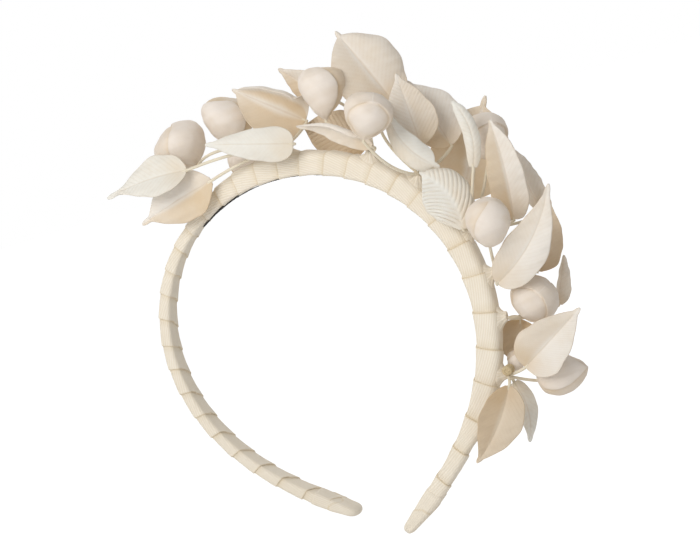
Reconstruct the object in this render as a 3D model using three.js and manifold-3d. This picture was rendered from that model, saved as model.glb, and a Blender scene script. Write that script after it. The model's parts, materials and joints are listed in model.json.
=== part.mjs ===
// Headband trimmed with sprays of moulded leather leaves and leather-covered buds.
//
// A flat spring band is wound in grosgrain ribbon from tip to tip. Seven sprays
// of covered wire stems are laid along its outer side, bound under the ribbon,
// and carry the leaves and buds. Millimetres. +Z is up, away from the head, +X is
// to the wearer's side that carries the long run of leaves, -Y is the front.
// The origin is on the grip strip's inner face, at the middle of the crown.

import * as THREE from 'three';
import { mergeVertices } from 'three/addons/utils/BufferGeometryUtils.js';
import Module from 'manifold-3d';

const wasm = await Module();
wasm.setup();

// ---------------------------------------------------------------- dimensions

// The wound band.
const BAND_HALF_LENGTH = 198.5; // crown centre to one tip, along the band
const BAND_WIDTH = 8.4; // front to back, over the ribbon
const BAND_THICKNESS = 4.4; // inside to outside, over the ribbon, where it is bare
const BAND_BENDS = [2.7, 3.1, 3.09, 2.3, 0.35]; // radians per half length, crown to tip
const TIP_OFFSET = 22; // each tip stands this far out of the crown's plane

// The ribbon.
const RIBBON_WALL = 0.6; // two or three layers of ribbon
const LAP_STEP = 0.3; // height of the edge where one turn laps the next
const LAP_SLANT = 2.5; // how far an edge runs on from front to back
const CROWN_LAP = 9; // spacing of the turns over the crown
const LEFT_LAP = 10;
const RIGHT_LAP = 14;
const TIP_FOLD = 6; // length of the folded ribbon end beyond the spring band

// The stems bound along the outer side of the crown and the right arm.
const BED_HEIGHT = 4.1; // how far the bound stems lift the ribbon
const BED_START = -0.02; // stations: 0 is the crown, 1 the right tip
const BED_END = 0.69;
const TAIL_BUILD = 1.4; // doubled ribbon from the last stem to the right tip

// The grip strip stuck under the crown.
const GRIP_WALL = 0.8;
const GRIP_WIDTH = 6;
const GRIP_REACH = 0.2; // station at each end

// Where the band is divided, because it springs open there.
const LEFT_FLEX = -0.36;
const RIGHT_FLEX = 0.36;

// Sprays.
const FOLD_HEIGHT = 1.2; // ribbon fold that each spray comes out of
const FOLD_LENGTH = 6;
const ROOT_RADIUS = 1.2; // where the stems of one spray are twisted together
const STEM_RADIUS = 0.55;
const STEM_SEAT = 0.55; // from the end of a stem to the foot of its leaf or bud
const LEATHER = 1.0; // leaf thickness at its midrib
const KNOB_RADIUS = 1.9; // cut and bound ends of the wires, beside the last spray
const KNOB_LENGTH = 5;

const GAP = 0.3; // clearance between pieces that touch
const LONGEST_FACET = 10; // along the band

// ------------------------------------------------------------------- finishes

const finish = (color, roughness, metalness = 0) =>
  new THREE.MeshStandardMaterial({ color, roughness, metalness });

const FINISHES = {
  leather: () => finish(0xe9d9cb, 0.7),
  bud: () => finish(0xecd8cd, 0.65),
  ribbon: () => finish(0xe8dabb, 0.6),
  stem: () => finish(0xdccfb4, 0.75),
  spring: () => finish(0xb9b9b4, 0.35, 1),
  grip: () => finish(0x2b2826, 0.9),
  knob: () => finish(0xb89c6c, 0.85),
};

// ------------------------------------------------------------------ band line

const LINE_STEPS = 400;

function traceBandLine() {
  const line = [{ x: 0, z: 0, turn: 0 }];
  for (let i = 1; i <= LINE_STEPS; i += 1) {
    const last = line[i - 1];
    const share = (i - 0.5) / LINE_STEPS * (BAND_BENDS.length - 1);
    const k = Math.floor(share);
    const bend = THREE.MathUtils.lerp(BAND_BENDS[k], BAND_BENDS[k + 1], share - k);
    const turn = last.turn + bend / LINE_STEPS;
    const middle = (last.turn + turn) / 2;
    const step = BAND_HALF_LENGTH / LINE_STEPS;
    line.push({ x: last.x + Math.cos(middle) * step, z: last.z - Math.sin(middle) * step, turn });
  }
  return line;
}

const BAND_LINE = traceBandLine();
const INNER_FACE = -BAND_THICKNESS / 2 - LAP_STEP; // the ribbon's inner face, from the band line
const CREST = GRIP_WALL + GAP - INNER_FACE; // the band line's height at the crown

// The band's middle line at a station, with the directions along it and out of it.
function stationFrame(station) {
  const side = station < 0 ? -1 : 1;
  const at = Math.min(Math.abs(station), 1) * LINE_STEPS;
  const k = Math.min(Math.floor(at), LINE_STEPS - 1);
  const a = BAND_LINE[k];
  const b = BAND_LINE[k + 1];
  const mix = (name) => THREE.MathUtils.lerp(a[name], b[name], at - k);
  const turn = mix('turn') * side;
  return {
    point: new THREE.Vector3(mix('x') * side, -TIP_OFFSET * station * Math.abs(station), CREST + mix('z')),
    along: new THREE.Vector3(Math.cos(turn), 0, -Math.sin(turn)),
    out: new THREE.Vector3(Math.sin(turn), 0, Math.cos(turn)),
  };
}

const toStation = (length) => length / BAND_HALF_LENGTH;

function bandPoint(station, out, across) {
  const frame = stationFrame(station);
  const point = frame.point.clone().addScaledVector(frame.out, out);
  point.y += across;
  return point;
}

// How far the bound stems, or doubled ribbon, lift the ribbon at a station.
function buildUp(station) {
  const rise = THREE.MathUtils.smoothstep(station, BED_START - 0.1, BED_START - 0.05);
  const fall = THREE.MathUtils.smoothstep(station, BED_END + 0.06, BED_END + 0.12);
  return rise * THREE.MathUtils.lerp(BED_HEIGHT, TAIL_BUILD, fall);
}

const outerHeight = (station) => BAND_THICKNESS / 2 + buildUp(station);

// ------------------------------------------------------------------- geometry

function closedGeometry(points, triangles) {
  const geometry = new THREE.BufferGeometry();
  const positions = points.flatMap((point) => [point.x, point.y, point.z]);
  geometry.setAttribute('position', new THREE.Float32BufferAttribute(positions, 3));
  geometry.setIndex(triangles);
  return geometry;
}

// Joins rings of equal count into a closed skin. A ring is a list of points; with
// inner rings given, the body is a tube whose ends are open.
function loft(rings, innerRings = null) {
  const count = rings[0].length;
  const last = rings.length - 1;
  const points = rings.flat();
  const triangles = [];
  const quad = (a, b, c, d) => triangles.push(a, b, c, a, c, d);
  for (let i = 0; i < last; i += 1) {
    for (let j = 0; j < count; j += 1) {
      const next = (j + 1) % count;
      quad(i * count + j, i * count + next, (i + 1) * count + next, (i + 1) * count + j);
    }
  }
  if (innerRings) {
    const base = points.length;
    points.push(...innerRings.flat());
    for (let i = 0; i < last; i += 1) {
      for (let j = 0; j < count; j += 1) {
        const next = (j + 1) % count;
        const row = base + i * count;
        quad(row + next, row + j, row + count + j, row + count + next);
      }
    }
    for (let j = 0; j < count; j += 1) {
      const next = (j + 1) % count;
      const end = last * count;
      quad(base + j, base + next, next, j);
      quad(base + end + next, base + end + j, end + j, end + next);
    }
    return closedGeometry(points, triangles);
  }
  const first = points.length;
  points.push(centroid(rings[0]), centroid(rings[last]));
  for (let j = 0; j < count; j += 1) {
    const next = (j + 1) % count;
    triangles.push(first, next, j);
    triangles.push(first + 1, last * count + j, last * count + next);
  }
  return closedGeometry(points, triangles);
}

function centroid(ring) {
  const sum = ring.reduce((total, point) => total.add(point), new THREE.Vector3());
  return sum.divideScalar(ring.length);
}

// A ring across the band. A section is a list of [out, across], counter-clockwise
// when looked at along the band; slant carries its back edge further along.
function bandRing(station, section, slant = 0) {
  return section.map(([out, across]) => {
    return bandPoint(station + toStation(slant * across / BAND_WIDTH), out, across);
  });
}

// Both sides of a section from its front half, which runs from inside to outside.
function mirrored(frontHalf) {
  const backHalf = frontHalf.map(([out, across]) => [out, -across]).reverse();
  return [...frontHalf, ...backHalf].reverse();
}

function stationsBetween(from, to, spacing) {
  const count = Math.max(1, Math.ceil((to - from) * BAND_HALF_LENGTH / spacing));
  return Array.from({ length: count + 1 }, (_, i) => THREE.MathUtils.lerp(from, to, i / count));
}

// ------------------------------------------------------------- band and ribbon

const CORE_HALF_THICKNESS = BAND_THICKNESS / 2 - RIBBON_WALL - GAP;
const CORE_HALF_WIDTH = BAND_WIDTH / 2 - RIBBON_WALL - GAP;

// The ribbon's outline, inset by a distance all round.
function ribbonSection(station, inset) {
  const build = buildUp(station);
  const low = -BAND_THICKNESS / 2 + inset;
  const high = BAND_THICKNESS / 2 + build - inset;
  const half = BAND_WIDTH / 2 - inset;
  const corner = 0.8;
  const crown = 1 + 0.35 * build; // how far the outer side draws in
  const drop = 1 + 0.65 * build; // and how deep its shoulder is
  return mirrored([
    [low, -half + corner],
    [low + corner, -half],
    [high - drop, -half],
    [high - 0.3 * drop, -half + 0.35 * crown],
    [high, -half + crown],
  ]);
}

const CORE_SECTION = mirrored([
  [-CORE_HALF_THICKNESS, -CORE_HALF_WIDTH + 0.5],
  [-CORE_HALF_THICKNESS + 0.5, -CORE_HALF_WIDTH],
  [CORE_HALF_THICKNESS - 0.5, -CORE_HALF_WIDTH],
  [CORE_HALF_THICKNESS, -CORE_HALF_WIDTH + 0.5],
]);

function springGeometry(from, to) {
  return loft(stationsBetween(from, to, LONGEST_FACET).map((station) => bandRing(station, CORE_SECTION)));
}

// The bound stems between the spring band and the ribbon.
function bedGeometry(from, to) {
  const section = (station) => {
    const top = outerHeight(station) - RIBBON_WALL - GAP;
    const bottom = CORE_HALF_THICKNESS + GAP;
    const shoulder = THREE.MathUtils.lerp(bottom, top, 0.3);
    const half = BAND_WIDTH / 2 - RIBBON_WALL - GAP - 0.4;
    return mirrored([
      [bottom, -half],
      [shoulder, -half],
      [top, -half + 0.3 * BED_HEIGHT + 0.4],
    ]);
  };
  return loft(stationsBetween(from, to, LONGEST_FACET).map((station) => bandRing(station, section(station))));
}

// One run of ribbon: turns that lap the next, each edge a small step.
function windingGeometry(from, to, lap) {
  const edge = toStation(0.15);
  const turns = Math.round((to - from) * BAND_HALF_LENGTH / lap);
  const rows = [{ station: from, lift: LAP_STEP }];
  const parts = Math.ceil(lap / LONGEST_FACET);
  for (let i = 0; i < turns; i += 1) {
    for (let j = 1; j <= parts; j += 1) {
      const station = THREE.MathUtils.lerp(from, to, (i + j / parts) / turns);
      const ends = j === parts;
      rows.push({ station: ends ? station - edge : station, lift: LAP_STEP * (1 - j / parts) });
      if (ends && i + 1 < turns) rows.push({ station: station + edge, lift: LAP_STEP });
    }
  }
  rows[rows.length - 1].station = to;
  const slantAt = (station) => {
    const room = Math.min(station - from, to - station) * BAND_HALF_LENGTH;
    return LAP_SLANT * THREE.MathUtils.clamp(room / lap, 0, 1);
  };
  const ring = (row, inset) => {
    return bandRing(row.station, ribbonSection(row.station, inset), slantAt(row.station));
  };
  const outer = rows.map((row) => ring(row, -row.lift));
  const inner = rows.map((row) => ring(row, RIBBON_WALL));
  return loft(outer, inner);
}

// The folded ribbon end that closes a tip.
function tipGeometry(side) {
  const shares = [0, 0.35, 0.65, 0.85, 0.97];
  const rings = shares.map((share) => {
    const station = 1 - toStation(TIP_FOLD * (1 - share) - GAP);
    const shrink = Math.sqrt(1 - share * share);
    const high = outerHeight(side * station);
    const section = ribbonSection(side * station, 0).map(([out, across]) => {
      const middle = (high - BAND_THICKNESS / 2) / 2;
      return [middle + (out - middle) * shrink, across * (0.45 + 0.55 * shrink)];
    });
    return bandRing(side * station, section);
  });
  return loft(side < 0 ? rings.reverse() : rings);
}

function gripGeometry() {
  const top = INNER_FACE - GAP;
  const section = mirrored([
    [top - GRIP_WALL, -GRIP_WIDTH / 2],
    [top, -GRIP_WIDTH / 2],
  ]);
  const stations = stationsBetween(-GRIP_REACH, GRIP_REACH, 4);
  return loft(stations.map((station) => bandRing(station, section)));
}

// A fold of ribbon standing over the winding, where a spray comes out.
function foldGeometry(station) {
  const half = toStation(FOLD_LENGTH / 2);
  const shares = [-1, -0.7, 0, 0.7, 1];
  return loft(shares.map((share) => {
    const at = station + share * half;
    const base = outerHeight(at) + LAP_STEP + GAP;
    const rise = 0.35 + (FOLD_HEIGHT - 0.35) * (1 - share * share);
    const width = BAND_WIDTH / 2 - 1.6;
    return bandRing(at, mirrored([
      [base, -width],
      [base + 0.6 * rise, -width],
      [base + rise, -width + 0.9],
    ]));
  }));
}

// The cut ends of the wires, taped into a short round bundle that lies across the
// band beside the fold at a station, with its end to the front.
function knobGeometry(station) {
  const rounding = 0.5;
  const profile = [
    new THREE.Vector2(0, 0),
    new THREE.Vector2(KNOB_RADIUS - rounding, 0),
    new THREE.Vector2(KNOB_RADIUS, rounding),
    new THREE.Vector2(KNOB_RADIUS, KNOB_LENGTH - rounding),
    new THREE.Vector2(KNOB_RADIUS - rounding, KNOB_LENGTH),
    new THREE.Vector2(0, KNOB_LENGTH),
  ];
  const at = station - toStation(FOLD_LENGTH / 2 + GAP + KNOB_RADIUS);
  const seat = bandPoint(at, outerHeight(at) + LAP_STEP + GAP + KNOB_RADIUS, -KNOB_LENGTH / 2);
  const geometry = new THREE.LatheGeometry(profile, 14);
  geometry.translate(seat.x, seat.y, seat.z);
  return cleaned(geometry);
}

// -------------------------------------------------------------- leaves and buds

const vector = (list) => new THREE.Vector3(...list);

// The direction a leaf's upper face looks, and the direction across it. With no
// roll the face looks to the front.
function leafAxes(direction, roll) {
  const front = new THREE.Vector3(0, -1, 0);
  const face = front.addScaledVector(direction, -front.dot(direction)).normalize();
  const side = new THREE.Vector3().crossVectors(face, direction);
  const angle = THREE.MathUtils.degToRad(roll);
  const turned = face.clone().multiplyScalar(Math.cos(angle)).addScaledVector(side, Math.sin(angle));
  return { face: turned, side: new THREE.Vector3().crossVectors(turned, direction) };
}

// Half width of a leaf along its length, as a share of the widest.
const leafOutline = (u) => Math.max(0.09, u ** 0.6 * (1 - u) ** 0.75 / 0.3957);

// A leaf is a moulded sheet: its two halves rise from the midrib by the fold, and
// the midrib arches towards the face and bows to the side.
function leafGeometry({ at, to, width, roll = 0, fold = 15, arch = 0, bow = 0, hook = 0 }) {
  const base = vector(at);
  const reach = vector(to).sub(base);
  const length = reach.length();
  const direction = reach.clone().normalize();
  const { face, side } = leafAxes(direction, roll);
  const rise = THREE.MathUtils.degToRad(fold);
  const rows = 9;
  const half = 2;
  const upper = [];
  const lower = [];
  for (let i = 0; i <= rows; i += 1) {
    const u = i / rows;
    const curl = Math.max(0, u - 0.55) / 0.45;
    const spine = base.clone().addScaledVector(direction, length * u)
      .addScaledVector(face, length * (4 * arch * u * (1 - u) + hook * curl * curl))
      .addScaledVector(side, length * 4 * bow * u * (1 - u));
    const tangent = direction.clone()
      .addScaledVector(face, 4 * arch * (1 - 2 * u) + 2 * hook * curl / 0.45)
      .addScaledVector(side, 4 * bow * (1 - 2 * u)).normalize();
    const across = side.clone().addScaledVector(tangent, -side.dot(tangent)).normalize();
    const normal = new THREE.Vector3().crossVectors(tangent, across);
    if (normal.dot(face) < 0) normal.negate();
    const reachOut = leafOutline(u) * width / 2;
    for (let j = -half; j <= half; j += 1) {
      const v = j / half;
      const soft = Math.sqrt(v * v + 0.02);
      const point = spine.clone().addScaledVector(across, v * reachOut * Math.cos(rise))
        .addScaledVector(normal, (soft - Math.sqrt(0.02)) * reachOut * Math.sin(rise));
      const slope = Math.atan2(Math.sin(rise) * v / soft, Math.cos(rise));
      const outward = normal.clone().multiplyScalar(Math.cos(slope))
        .addScaledVector(across, -Math.sin(slope));
      const skin = LEATHER * (0.5 - 0.2 * Math.abs(v));
      upper.push(point.clone().addScaledVector(outward, skin));
      lower.push(point.clone().addScaledVector(outward, -skin));
    }
  }
  return sheetGeometry(upper, lower, rows, 2 * half);
}

// Closes two grids of points, one above the other, into a sheet with an edge.
function sheetGeometry(upper, lower, rows, columns) {
  const width = columns + 1;
  const under = upper.length;
  const triangles = [];
  for (let i = 0; i < rows; i += 1) {
    for (let j = 0; j < columns; j += 1) {
      const a = i * width + j;
      const b = a + width;
      triangles.push(a, a + 1, b, a + 1, b + 1, b);
      triangles.push(under + a, under + b, under + a + 1, under + a + 1, under + b, under + b + 1);
    }
  }
  const rim = [];
  for (let j = 0; j < columns; j += 1) rim.push(j);
  for (let i = 0; i < rows; i += 1) rim.push(i * width + columns);
  for (let j = columns; j > 0; j -= 1) rim.push(rows * width + j);
  for (let i = rows; i > 0; i -= 1) rim.push(i * width);
  rim.forEach((a, i) => {
    const b = rim[(i + 1) % rim.length];
    triangles.push(a, under + a, under + b, a, under + b, b);
  });
  const geometry = closedGeometry([...upper, ...lower], triangles);
  return signedVolume(geometry) < 0 ? flipped(geometry) : geometry;
}

function signedVolume(geometry) {
  const position = geometry.getAttribute('position');
  const index = geometry.getIndex();
  const corner = (i) => new THREE.Vector3().fromBufferAttribute(position, index.getX(i));
  let volume = 0;
  for (let i = 0; i < index.count; i += 3) {
    volume += corner(i).dot(corner(i + 1).cross(corner(i + 2))) / 6;
  }
  return volume;
}

function flipped(geometry) {
  const index = Array.from(geometry.getIndex().array);
  for (let i = 0; i < index.length; i += 3) {
    [index[i], index[i + 1]] = [index[i + 1], index[i]];
  }
  geometry.setIndex(index);
  return geometry;
}

// A bud is a ball of leather petals, drawn to a point at its stem. The petals lap
// in turn.
function budGeometry({ at, to, radius }) {
  const base = vector(at);
  const reach = vector(to).sub(base);
  const length = reach.length();
  const petals = 3;
  const lap = 0.05;
  const rows = 8;
  const columns = 12;
  const widest = 0.554 ** 0.62 * 0.446 ** 0.5;
  const profile = Array.from({ length: rows + 1 }, (_, i) => {
    const u = i / rows;
    return new THREE.Vector2(radius * u ** 0.62 * (1 - u) ** 0.5 / widest, length * u);
  });
  const geometry = new THREE.LatheGeometry(profile, columns);
  const position = geometry.getAttribute('position');
  for (let i = 0; i < position.count; i += 1) {
    const angle = Math.atan2(position.getZ(i), position.getX(i)) / (2 * Math.PI);
    const place = angle * petals + 0.8 * position.getY(i) / length + 0.01;
    const swell = 1 + lap * (place - Math.floor(place));
    position.setX(i, position.getX(i) * swell);
    position.setZ(i, position.getZ(i) * swell);
  }
  const up = new THREE.Vector3(0, 1, 0);
  geometry.applyQuaternion(new THREE.Quaternion().setFromUnitVectors(up, reach.normalize()));
  geometry.translate(base.x, base.y, base.z);
  return cleaned(geometry);
}

// Merges the vertices that faces share and drops faces that have no area.
function cleaned(geometry) {
  geometry.deleteAttribute('normal');
  geometry.deleteAttribute('uv');
  const merged = mergeVertices(geometry, 1e-4);
  const index = merged.getIndex();
  const kept = [];
  for (let i = 0; i < index.count; i += 3) {
    const [a, b, c] = [index.getX(i), index.getX(i + 1), index.getX(i + 2)];
    if (a !== b && b !== c && c !== a) kept.push(a, b, c);
  }
  merged.setIndex(kept);
  return signedVolume(merged) < 0 ? flipped(merged) : merged;
}

// ------------------------------------------------------------- solids in joins

function toSolid(geometry) {
  const merged = cleaned(geometry.clone());
  return new wasm.Manifold(new wasm.Mesh({
    numProp: 3,
    vertProperties: new Float32Array(merged.getAttribute('position').array),
    triVerts: new Uint32Array(merged.getIndex().array),
  }));
}

function fromSolid(solid) {
  const mesh = solid.getMesh();
  const geometry = new THREE.BufferGeometry();
  geometry.setAttribute('position', new THREE.BufferAttribute(mesh.vertProperties, 3));
  geometry.setIndex(new THREE.BufferAttribute(mesh.triVerts, 1));
  return geometry;
}

// A covered wire from the spray's root to the foot of a leaf or bud. It sets out
// towards its turning point and comes in along the piece that it carries.
function stemGeometry(turn, end) {
  const path = new THREE.QuadraticBezierCurve3(new THREE.Vector3(), turn, end);
  const outline = new THREE.Shape().absarc(0, 0, STEM_RADIUS, 0, 2 * Math.PI);
  return new THREE.ExtrudeGeometry(outline, {
    steps: 5, curveSegments: 3, bevelEnabled: false, extrudePath: path,
  });
}

function stemsGeometry(pieces) {
  let solid = toSolid(new THREE.SphereGeometry(ROOT_RADIUS, 8, 6));
  pieces.forEach(({ at, to, via }) => {
    const foot = vector(at);
    const reach = vector(to).sub(foot).normalize();
    const end = foot.clone().addScaledVector(reach, -STEM_SEAT);
    const turn = via ? vector(via) : end.clone().multiplyScalar(0.6).addScaledVector(reach, -0.1 * end.length());
    solid = solid.add(toSolid(stemGeometry(turn, end)));
  });
  return fromSolid(solid);
}

// --------------------------------------------------------------------- sprays

// Leaves and buds of each spray, in the spray's own frame: its root is where the
// stems come out of the ribbon, and its axes are parallel to the headband's. A
// piece runs from its foot (at) to its tip (to). A stem goes by way of via.
const SPRAYS = [
  {
    station: 0.045,
    leaves: [
      { at: [-40, -4, 3], to: [-77, -6, 1], via: [-18, -8, 4], width: 15, fold: 12, arch: 0.06, bow: 0.05 },
      { at: [-31, -8, -4], to: [-63, -12, -12], via: [-14, -9, 0], width: 19, roll: -10, fold: 22, bow: -0.03 },
      { at: [8, 6, 8], to: [-15, 2, 26], width: 17, roll: -60, fold: 10, arch: 0.12, hook: 0.1 },
      { at: [6, -10, -1], to: [-25, -14, 12], width: 14, fold: 12, arch: 0.05 },
    ],
    buds: [
      { at: [-41, 4, 4], to: [-50, 4, 18], via: [-24, -16, 10], radius: 9.6 },
      { at: [-32, 12, 9], to: [-21, 12, 23], via: [-26, 24, -8], radius: 8.8 },
      { at: [-15, 4, -1], to: [-24, 4, 10], radius: 7 },
    ],
  },
  {
    station: 0.2,
    leaves: [
      { at: [3, -7, 2], to: [-22, -8, 18], via: [4, -5, 1], width: 10, roll: 40, fold: 12, arch: -0.08, bow: -0.06 },
      { at: [-6, 9, 5], to: [-30, 13, 19], width: 15, roll: -20, fold: 10 },
      { at: [-19, 19, 25], to: [-34, 19, 40], via: [-4, 22, 12], width: 10, roll: 5 },
    ],
    buds: [
      { at: [-14, 1, 16], to: [-13, 4, 37], via: [-6, 0, 6], radius: 9.6 },
    ],
  },
  {
    station: 0.29,
    leaves: [
      { at: [-6, 15, 26], to: [-19, 11, 60], via: [-8, 24, 6], width: 23, roll: -35, fold: 18, arch: 0.06 },
      { at: [-3, 0, 28], to: [10, -8, 1], via: [-16, 0, 22], width: 13, roll: 60, fold: 12, arch: 0.05 },
      { at: [1, 8, 10], to: [0, 8, 38], width: 18, roll: -35, arch: 0.06 },
      { at: [8, 18, 7], to: [-2, 21, 34], width: 17, roll: -65, arch: 0.06 },
    ],
    buds: [
      { at: [-11, -16, 19], to: [-3, -14, 35], via: [-8, -9, 4], radius: 9.2 },
    ],
  },
  {
    station: 0.415,
    leaves: [
      { at: [10, -5, 22], to: [9, -3, 47], via: [4, -4, 12], width: 12, roll: 35, arch: 0.06 },
      { at: [-11.5, 33, 10], to: [9.5, 33, 44], via: [-7, 29, 5], width: 22, roll: -5, fold: 3 },
      { at: [11, 9, 1], to: [16, 4, 33], via: [7, 6, -3], width: 22, roll: -15, arch: 0.08, bow: 0.05 },
      { at: [19, 24, -5], to: [14, 24, 28], width: 17, roll: -65, arch: 0.08, bow: -0.05 },
      { at: [-2, -8, 3], to: [-10, -9, 26], width: 20, roll: -40, fold: 20, arch: 0.03 },
    ],
    buds: [
      { at: [8.5, 17, 23], to: [11.5, 17, 40], via: [3, 18, 12], radius: 8.2 },
    ],
  },
  {
    station: 0.495,
    leaves: [
      { at: [4, -5, -2], to: [31, -7, 27], width: 15, arch: 0.05, bow: -0.09 },
      { at: [12, 15, -3], to: [25, 11, 20], via: [4, 12, 3], width: 15, roll: -70, fold: 20, arch: 0.05 },
    ],
    buds: [
      { at: [4, -10, 11], to: [9, -13, 29], radius: 8.8 },
    ],
  },
  {
    station: 0.57,
    leaves: [
      { at: [15, 20, -4], to: [22, 20, 14], via: [4, 18, -6], width: 9, roll: 30 },
      { at: [-1, 15, -4], to: [-6, 15, -18.5], via: [3, 14, -2], width: 14, roll: -10, fold: 10, arch: 0.03 },
    ],
    buds: [
      { at: [3, 6, -1], to: [17, 6, 8], radius: 9.2 },
    ],
  },
  {
    station: 0.665,
    leaves: [
      { at: [7, -2, 3], to: [35, -6, 19], width: 18, roll: 5, fold: 20, arch: 0.05 },
      { at: [1, -7, -4], to: [-18, -10, -25], width: 18, roll: 25, fold: 22, arch: 0.05 },
      { at: [1, 4, -4], to: [-0.5, 2, -26.5], width: 9, roll: 60, arch: 0.05 },
    ],
    buds: [
      { at: [8, 7, -5], to: [29, 6, -4.4], radius: 8 },
      { at: [0.3, 7.6, 0.6], to: [4.1, 7.6, 7.6], radius: 3.8 },
    ],
  },
];

// ------------------------------------------------------------------- assembly

const headband = new THREE.Group();

function addPiece(parent, name, geometry, finishName) {
  const mesh = new THREE.Mesh(geometry, FINISHES[finishName]());
  mesh.name = name;
  parent.add(mesh);
}

const cut = toStation(GAP / 2);
const tipStart = 1 - toStation(TIP_FOLD);

addPiece(headband, 'spring_band_crown', springGeometry(LEFT_FLEX + cut, RIGHT_FLEX - cut), 'spring');
addPiece(headband, 'spring_band_left', springGeometry(-tipStart, LEFT_FLEX - cut), 'spring');
addPiece(headband, 'spring_band_right', springGeometry(RIGHT_FLEX + cut, tipStart), 'spring');
addPiece(headband, 'ribbon_crown', windingGeometry(LEFT_FLEX + cut, RIGHT_FLEX - cut, CROWN_LAP), 'ribbon');
addPiece(headband, 'ribbon_left', windingGeometry(-tipStart, LEFT_FLEX - cut, LEFT_LAP), 'ribbon');
addPiece(headband, 'ribbon_right', windingGeometry(RIGHT_FLEX + cut, tipStart, RIGHT_LAP), 'ribbon');
addPiece(headband, 'ribbon_tip_left', tipGeometry(-1), 'ribbon');
addPiece(headband, 'ribbon_tip_right', tipGeometry(1), 'ribbon');
addPiece(headband, 'stem_bed_crown', bedGeometry(BED_START, RIGHT_FLEX - cut), 'stem');
addPiece(headband, 'stem_bed_right', bedGeometry(RIGHT_FLEX + cut, BED_END), 'stem');
addPiece(headband, 'grip_strip', gripGeometry(), 'grip');
addPiece(headband, 'wire_end_bundle', knobGeometry(SPRAYS[SPRAYS.length - 1].station), 'knob');

SPRAYS.forEach((spray, i) => {
  const label = `spray_${i + 1}`;
  const group = new THREE.Group();
  const surface = outerHeight(spray.station) + LAP_STEP + GAP + FOLD_HEIGHT;
  group.position.copy(bandPoint(spray.station, surface + GAP + ROOT_RADIUS, 0));
  headband.add(group);
  addPiece(headband, `${label}_ribbon_fold`, foldGeometry(spray.station), 'ribbon');
  addPiece(group, `${label}_stems`, stemsGeometry([...spray.leaves, ...spray.buds]), 'stem');
  spray.leaves.forEach((leaf, j) => addPiece(group, `${label}_leaf_${j + 1}`, leafGeometry(leaf), 'leather'));
  spray.buds.forEach((bud, j) => addPiece(group, `${label}_bud_${j + 1}`, budGeometry(bud), 'bud'));
});

export default headband;
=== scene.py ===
"""Headband trimmed with leather leaves and buds: its looks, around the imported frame.

The builders work in millimetres and hand metres to Blender. +Z is away from the
head, +X is the side with the long run of leaves, and -Y is the front.
"""

import json
import logging
import math
from dataclasses import dataclass, field
from enum import Enum
from typing import Callable, Sequence

import bpy
import numpy as np
from mathutils import Matrix, Vector

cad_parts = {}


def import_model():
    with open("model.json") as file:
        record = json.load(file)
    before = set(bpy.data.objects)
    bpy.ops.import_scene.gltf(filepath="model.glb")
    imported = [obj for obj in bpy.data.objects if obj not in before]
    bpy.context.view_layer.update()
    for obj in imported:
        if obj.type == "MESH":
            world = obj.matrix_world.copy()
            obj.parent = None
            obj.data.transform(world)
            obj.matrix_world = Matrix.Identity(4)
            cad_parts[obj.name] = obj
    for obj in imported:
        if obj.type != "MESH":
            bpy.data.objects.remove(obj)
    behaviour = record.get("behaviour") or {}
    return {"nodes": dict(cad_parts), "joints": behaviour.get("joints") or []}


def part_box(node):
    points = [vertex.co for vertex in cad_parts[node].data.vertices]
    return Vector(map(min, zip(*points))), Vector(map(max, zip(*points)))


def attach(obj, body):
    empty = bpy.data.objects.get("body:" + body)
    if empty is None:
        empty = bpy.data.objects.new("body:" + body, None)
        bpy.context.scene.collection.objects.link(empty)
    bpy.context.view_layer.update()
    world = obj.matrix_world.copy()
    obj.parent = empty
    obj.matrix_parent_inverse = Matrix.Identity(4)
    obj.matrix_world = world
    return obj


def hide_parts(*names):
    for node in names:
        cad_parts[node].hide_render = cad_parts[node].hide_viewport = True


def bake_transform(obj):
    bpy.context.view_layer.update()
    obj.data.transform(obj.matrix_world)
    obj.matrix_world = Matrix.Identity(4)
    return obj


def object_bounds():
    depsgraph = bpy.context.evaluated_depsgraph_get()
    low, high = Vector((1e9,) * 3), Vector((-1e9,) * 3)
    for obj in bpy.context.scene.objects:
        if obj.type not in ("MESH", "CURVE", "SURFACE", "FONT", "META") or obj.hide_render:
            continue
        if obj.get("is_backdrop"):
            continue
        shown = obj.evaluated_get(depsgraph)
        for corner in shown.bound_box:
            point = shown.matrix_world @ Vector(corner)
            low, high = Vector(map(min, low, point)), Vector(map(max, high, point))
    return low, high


log = logging.getLogger("headband")

MM = 0.001
TURN = 2 * math.pi

Array = np.ndarray
Numbers = Sequence[float]
Rgba = tuple[float, float, float, float]
Node = bpy.types.Node
Socket = bpy.types.NodeSocket
Thing = bpy.types.Object


# ------------------------------------------------------------------ small maths


def unit(vectors: Array) -> Array:
    """Vectors of length one, along the last axis."""
    return vectors / np.maximum(np.linalg.norm(vectors, axis=-1, keepdims=True), 1e-12)


def smoothstep(low: float, high: float, value: Array) -> Array:
    """A smooth rise from 0 at low to 1 at high."""
    share = np.clip((value - low) / (high - low), 0.0, 1.0)
    return share * share * (3 - 2 * share)


def ripple(points: Array, size: float, seed: float = 0.0) -> Array:
    """A smooth unevenness between about -1 and 1 that needs no random numbers.

    Args:
        points: Places, with x, y and z last.
        size: The usual distance from one hump to the next.
        seed: Moves the pattern, so that no two pieces share it.

    Returns:
        One number for each place.
    """
    x, y, z = np.moveaxis(points * (TURN / size), -1, 0)
    first = np.sin(x + 0.7 * z + 1.3 * seed) + np.sin(1.31 * y - 0.6 * x + 2.1 * seed)
    second = np.sin(1.17 * z + 0.8 * y + 0.4 * seed) * np.sin(0.53 * x - 1.9 * z + seed)
    return (first + 1.4 * second) / 3.0


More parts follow.
